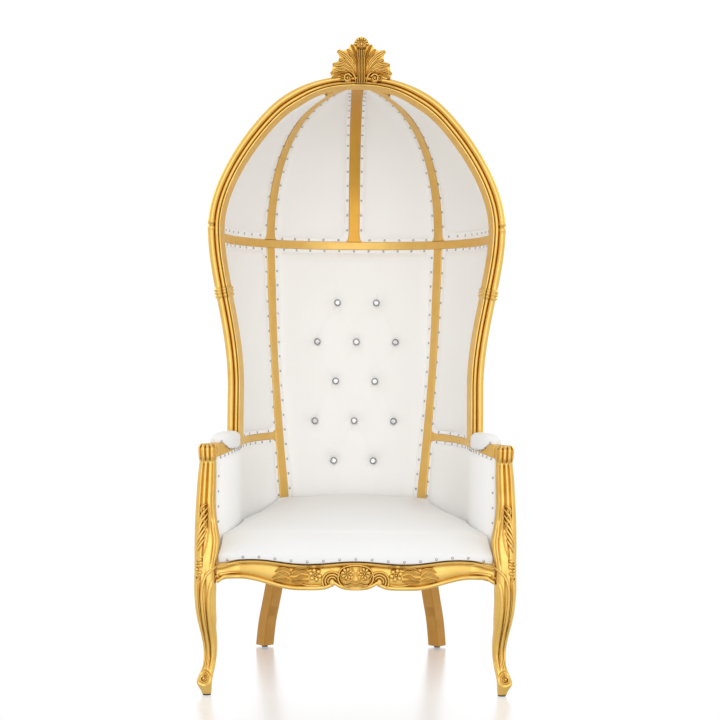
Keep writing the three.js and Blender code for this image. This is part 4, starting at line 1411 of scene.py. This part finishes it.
def carve_leg(bm, ground):
    """Adds the right leg's carving: acanthus, bud, the rail's mouldings and the foot's volute."""
    blades = [
        [(388, 499), (396, 497), (402, 487), (402, 476)],
        [(384, 492), (391, 485), (399, 474), (404, 459), (402, 449)],
        [(384, 478), (391, 469), (401, 456), (407, 440), (405, 429)],
        [(385, 463), (392, 453), (402, 439), (409, 423), (408, 412)],
        [(386, 447), (393, 437), (403, 422), (411, 406), (411, 396)],
        [(388, 431), (395, 421), (404, 407), (411, 392)],
        [(391, 414), (398, 404), (405, 393), (411, 380)],
    ]
    for points in blades:
        strand(bm, points, 9, 7, ground, lambda t: tapered(t, 0.3, 0.4, 0.55), 14)
    vein = [(385, 502), (381, 472), (382, 432), (388, 394), (397, 368)]
    strand(bm, vein, 3.6, 4.5, ground, even, 26)
    for x, z, size, turn in (
        (404, 357, 6.5, 0.5), (413, 349, 6, -0.6), (402, 342, 6.5, 0.9), (412, 333, 6.5, -0.4),
        (403, 325, 6, 0.3), (411, 317, 5, -0.8), (408, 342, 5, 0),
    ):
        boss(bm, (x, ground(x, z) - 1.5, z), (size, 4.2, size * 0.72), turn)
    strand(bm, spiral(409, 311, 7, 1.2, pi * 0.5, -1), 4, 4, ground, even, 20)
    # Mouldings that leave the rail, turn the corner and run down the leg, and one beside them.
    mouldings = [
        ([(286, 344), (326, 346), (354, 341), (374, 331), (388, 316), (396, 296), (399, 270),
          (398, 240), (394, 200), (387, 160), (382.5, 125), (382.5, 95), (388, 68)], 8.5),
        ([(296, 324), (330, 322), (352, 318), (367, 308), (376, 290), (380, 265), (381, 235),
          (379, 200), (374.5, 160), (371, 125), (372, 95), (379, 68)], 10.5),
        ([(407, 318), (411, 290), (410.5, 250), (407, 215), (399, 170), (392, 130), (391, 100),
          (396, 72)], 7.5),
    ]
    for points, width in mouldings:
        strand(bm, points, width, 4.6, ground, lambda t: min(1, 0.15 + 5 * t, 4.3 - 4 * t), 76, 9)
    volute = spiral(FOOT_X, FOOT_Z, 12.5, 1.3, pi * 0.55)
    strand(bm, volute, 5, 9, ground, lambda t: 1 - 0.35 * t, 34)
    boss(bm, (FOOT_X, ground(FOOT_X, FOOT_Z) - 3.5, FOOT_Z), (4.2, 5.5, 4.2))


# -------- front rail

RAIL_BACK = 32
MEDALLION = (45, 11, 32)
MEDALLION_Z = 315
SCROLL_X, SCROLL_Z = 61, 304


def rail_section(x):
    """Section of the front rail at x: an upper bead, a cove, a plain field and a lower bead."""
    top, foot = rail_top(x), rail_foot(x)
    return [
        (RAIL_BACK, top), (4, top), (1.4, top - 1.3), (0.2, top - 3.6), (1, top - 6),
        (3.6, top - 8), (7, top - 10), (8, top - 13), (7.2, top - 17), (6.6, (top + foot) / 2),
        (7, foot + 16), (8, foot + 13.5), (4.5, foot + 12), (1.4, foot + 10.2), (0, foot + 6.8),
        (0.8, foot + 3.2), (3.6, foot + 0.8), (8, foot), (RAIL_BACK, foot),
    ]


def bare_rail():
    def place(u, index):
        x = lerp(-RAIL_END_X, RAIL_END_X, u)
        back, z = rail_section(x)[index]
        return Vector((x, rail_front(x) + back, z))

    return sweep(240, range(len(rail_section(0))), place)


def carve_rail(bm, ground):
    """Adds the relief: a medallion of two flowers, scrolls, larger flowers and leaf sprays."""
    middle_y = rail_front(0) + 7
    boss(bm, (0, middle_y, MEDALLION_Z), MEDALLION, sides=40, rows=16)
    half = bmesh.new()

    def on_medallion(x, z):
        wide, thick, tall = MEDALLION
        inside = max(0, 1 - (x / wide) ** 2 - ((z - MEDALLION_Z) / tall) ** 2)
        return middle_y - thick * sqrt(inside)

    rosette(half, 22.5, 325, 16, on_medallion, 8)
    strand(half, ring(22.5, 325, 19.5, 25), 3.4, 4.4, on_medallion, full_width, 40)
    frond(half, [(1, 303), (12, 306), (24, 302), (36, 307)], 9, 5, on_medallion)
    frond(half, [(1, 294), (12, 296), (22, 292), (32, 295)], 9, 5, on_medallion)
    border = [(0, 346.5), (20, 344), (37, 336), (45, 320), (43, 303), (30, 290), (13, 285), (0, 284)]
    strand(half, border, 5, 4.5, flat_ground(middle_y - 4), full_width, 40)
    # C-scroll round its notch, in three parallel strands that run out into a stem.
    for reach, width in ((11, 5.6), (18, 6), (25, 6)):
        curl = samples(11, lambda t: (
            SCROLL_X + reach * cos(lerp(0.95, -0.22, t) * pi),
            SCROLL_Z + reach * sin(lerp(0.95, -0.22, t) * pi),
        ))
        strand(half, curl, width, 6.5, ground, even, 28)
    boss(half, (SCROLL_X, rail_front(SCROLL_X) + 4, SCROLL_Z - 4), (7.5, 5, 11))
    stem = [(82, 297), (94, 293), (110, 292), (128, 293), (146, 298), (160, 306)]
    strand(half, stem, 6, 5.5, ground, steps=20)
    rosette(half, 105, 320, 18, ground, 6)
    leaves = [
        ([(120, 334), (134, 339), (150, 337), (166, 328)], 10),
        ([(122, 325), (138, 328), (154, 323), (170, 319)], 11),
        ([(123, 315), (139, 315), (155, 308), (170, 311)], 10),
        ([(121, 304), (137, 302), (153, 300), (168, 302)], 9),
        ([(168, 324), (180, 333), (196, 334), (210, 326)], 11),
        ([(172, 315), (187, 321), (203, 318), (217, 310)], 11),
        ([(172, 304), (186, 306), (200, 304), (212, 304)], 10),
        ([(84, 338), (93, 342), (104, 343)], 7),
        ([(114, 343), (124, 341), (132, 336)], 6),
    ]
    for points, width in leaves:
        frond(half, points, width, 6.5, ground, lambda t: tapered(t, 0.45, 0.3, 0.45), 12)
    add(bm, half, Matrix(), MIRROR)


def build_carved_front():
    leg, rail = bare_leg(), bare_rail()
    ground = ground_of(leg, rail)
    carve_leg(leg, ground)
    pair("front_leg", leg, GOLD, CARVED)
    carve_rail(rail, ground)
    piece("front_rail", rail, GOLD, RAIL_WORK)


# -------- stage


def build_stage():
    bm = surface(1, 1, lambda u, v: Vector((lerp(-9, 9, u), lerp(-7, 9, v), 0)))
    floor = linked("floor", bpy.data.meshes.new("floor"))
    bm.to_mesh(floor.data)
    bm.free()
    white = Finish("studio_floor", Metallic=1.0, Roughness=0.23, Emission_Strength=1.0)
    # It glows where it meets the white surroundings, and mirrors most behind the front feet.
    away = white.node("ShaderNodeSeparateXYZ", {}, {0: white.place}, "Y") * 0.22 + 0.22
    stains = away + white.noise(0.6) * 0.01
    near, far = 0.14, 0.29
    white.set(Base_Color=white.ramp(stains, (near, grey(0.03)), (far, grey(0.45))))
    white.set(Emission_Color=white.ramp(away, (near, grey(0.72)), (far, grey(0.40))))
    floor.data.materials.append(white.material)

    world = bpy.data.worlds.new("studio")
    bpy.context.scene.world = world
    world.use_nodes = True
    tree = world.node_tree
    sky = tree.nodes["Background"]
    sky.inputs["Color"].default_value = (1, 1, 1, 1)
    rays = tree.nodes.new("ShaderNodeLightPath")
    seen = tree.nodes.new("ShaderNodeMapRange")
    seen.inputs["To Min"].default_value, seen.inputs["To Max"].default_value = 0.99, 1.05
    tree.links.new(rays.outputs["Is Camera Ray"], seen.inputs["Value"])
    tree.links.new(seen.outputs["Result"], sky.inputs["Strength"])
    bpy.context.scene.view_settings.view_transform = "Standard"

    lights = (
        ("front", (0.2, -6.2, 1.5), 4.2, 72),
        ("key", (-1.4, -3.0, 3.4), 2.0, 4),
        ("fill", (2.6, -2.6, 1.9), 1.8, 5),
        ("rim_left", (-2.6, 1.9, 2.2), 1.6, 16),
        ("rim_right", (2.6, 1.9, 2.2), 1.6, 16),
    )
    for name, spot, size, power in lights:
        lamp = linked(name, bpy.data.lights.new(name, "AREA"))
        lamp.data.size, lamp.data.energy = size, power
        lamp.location = spot
        lamp.rotation_euler = (Vector((0, 0, 0.9)) - Vector(spot)).to_track_quat("-Z", "Y").to_euler()

    eye = linked("camera", bpy.data.cameras.new("camera"))
    eye.data.lens, eye.data.sensor_width = 89.7, 36
    eye.location = (-0.077, FEET_Y - 4.68, 0.956)
    eye.rotation_euler = tuple(radians(turn) for turn in (89.04, -0.45, -1.026))
    bpy.context.scene.camera = eye


build_stage()
build_hood()
build_side_walls()
build_back()
seat_cushion = build_seat()
build_arm_pads()
build_frame_bars()
build_arch()
build_carved_front()
nail_seat(seat_cushion)

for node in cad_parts.values():
    if not node.hide_render:
        node.data.materials.clear()
        node.data.materials.append(GLIDE)
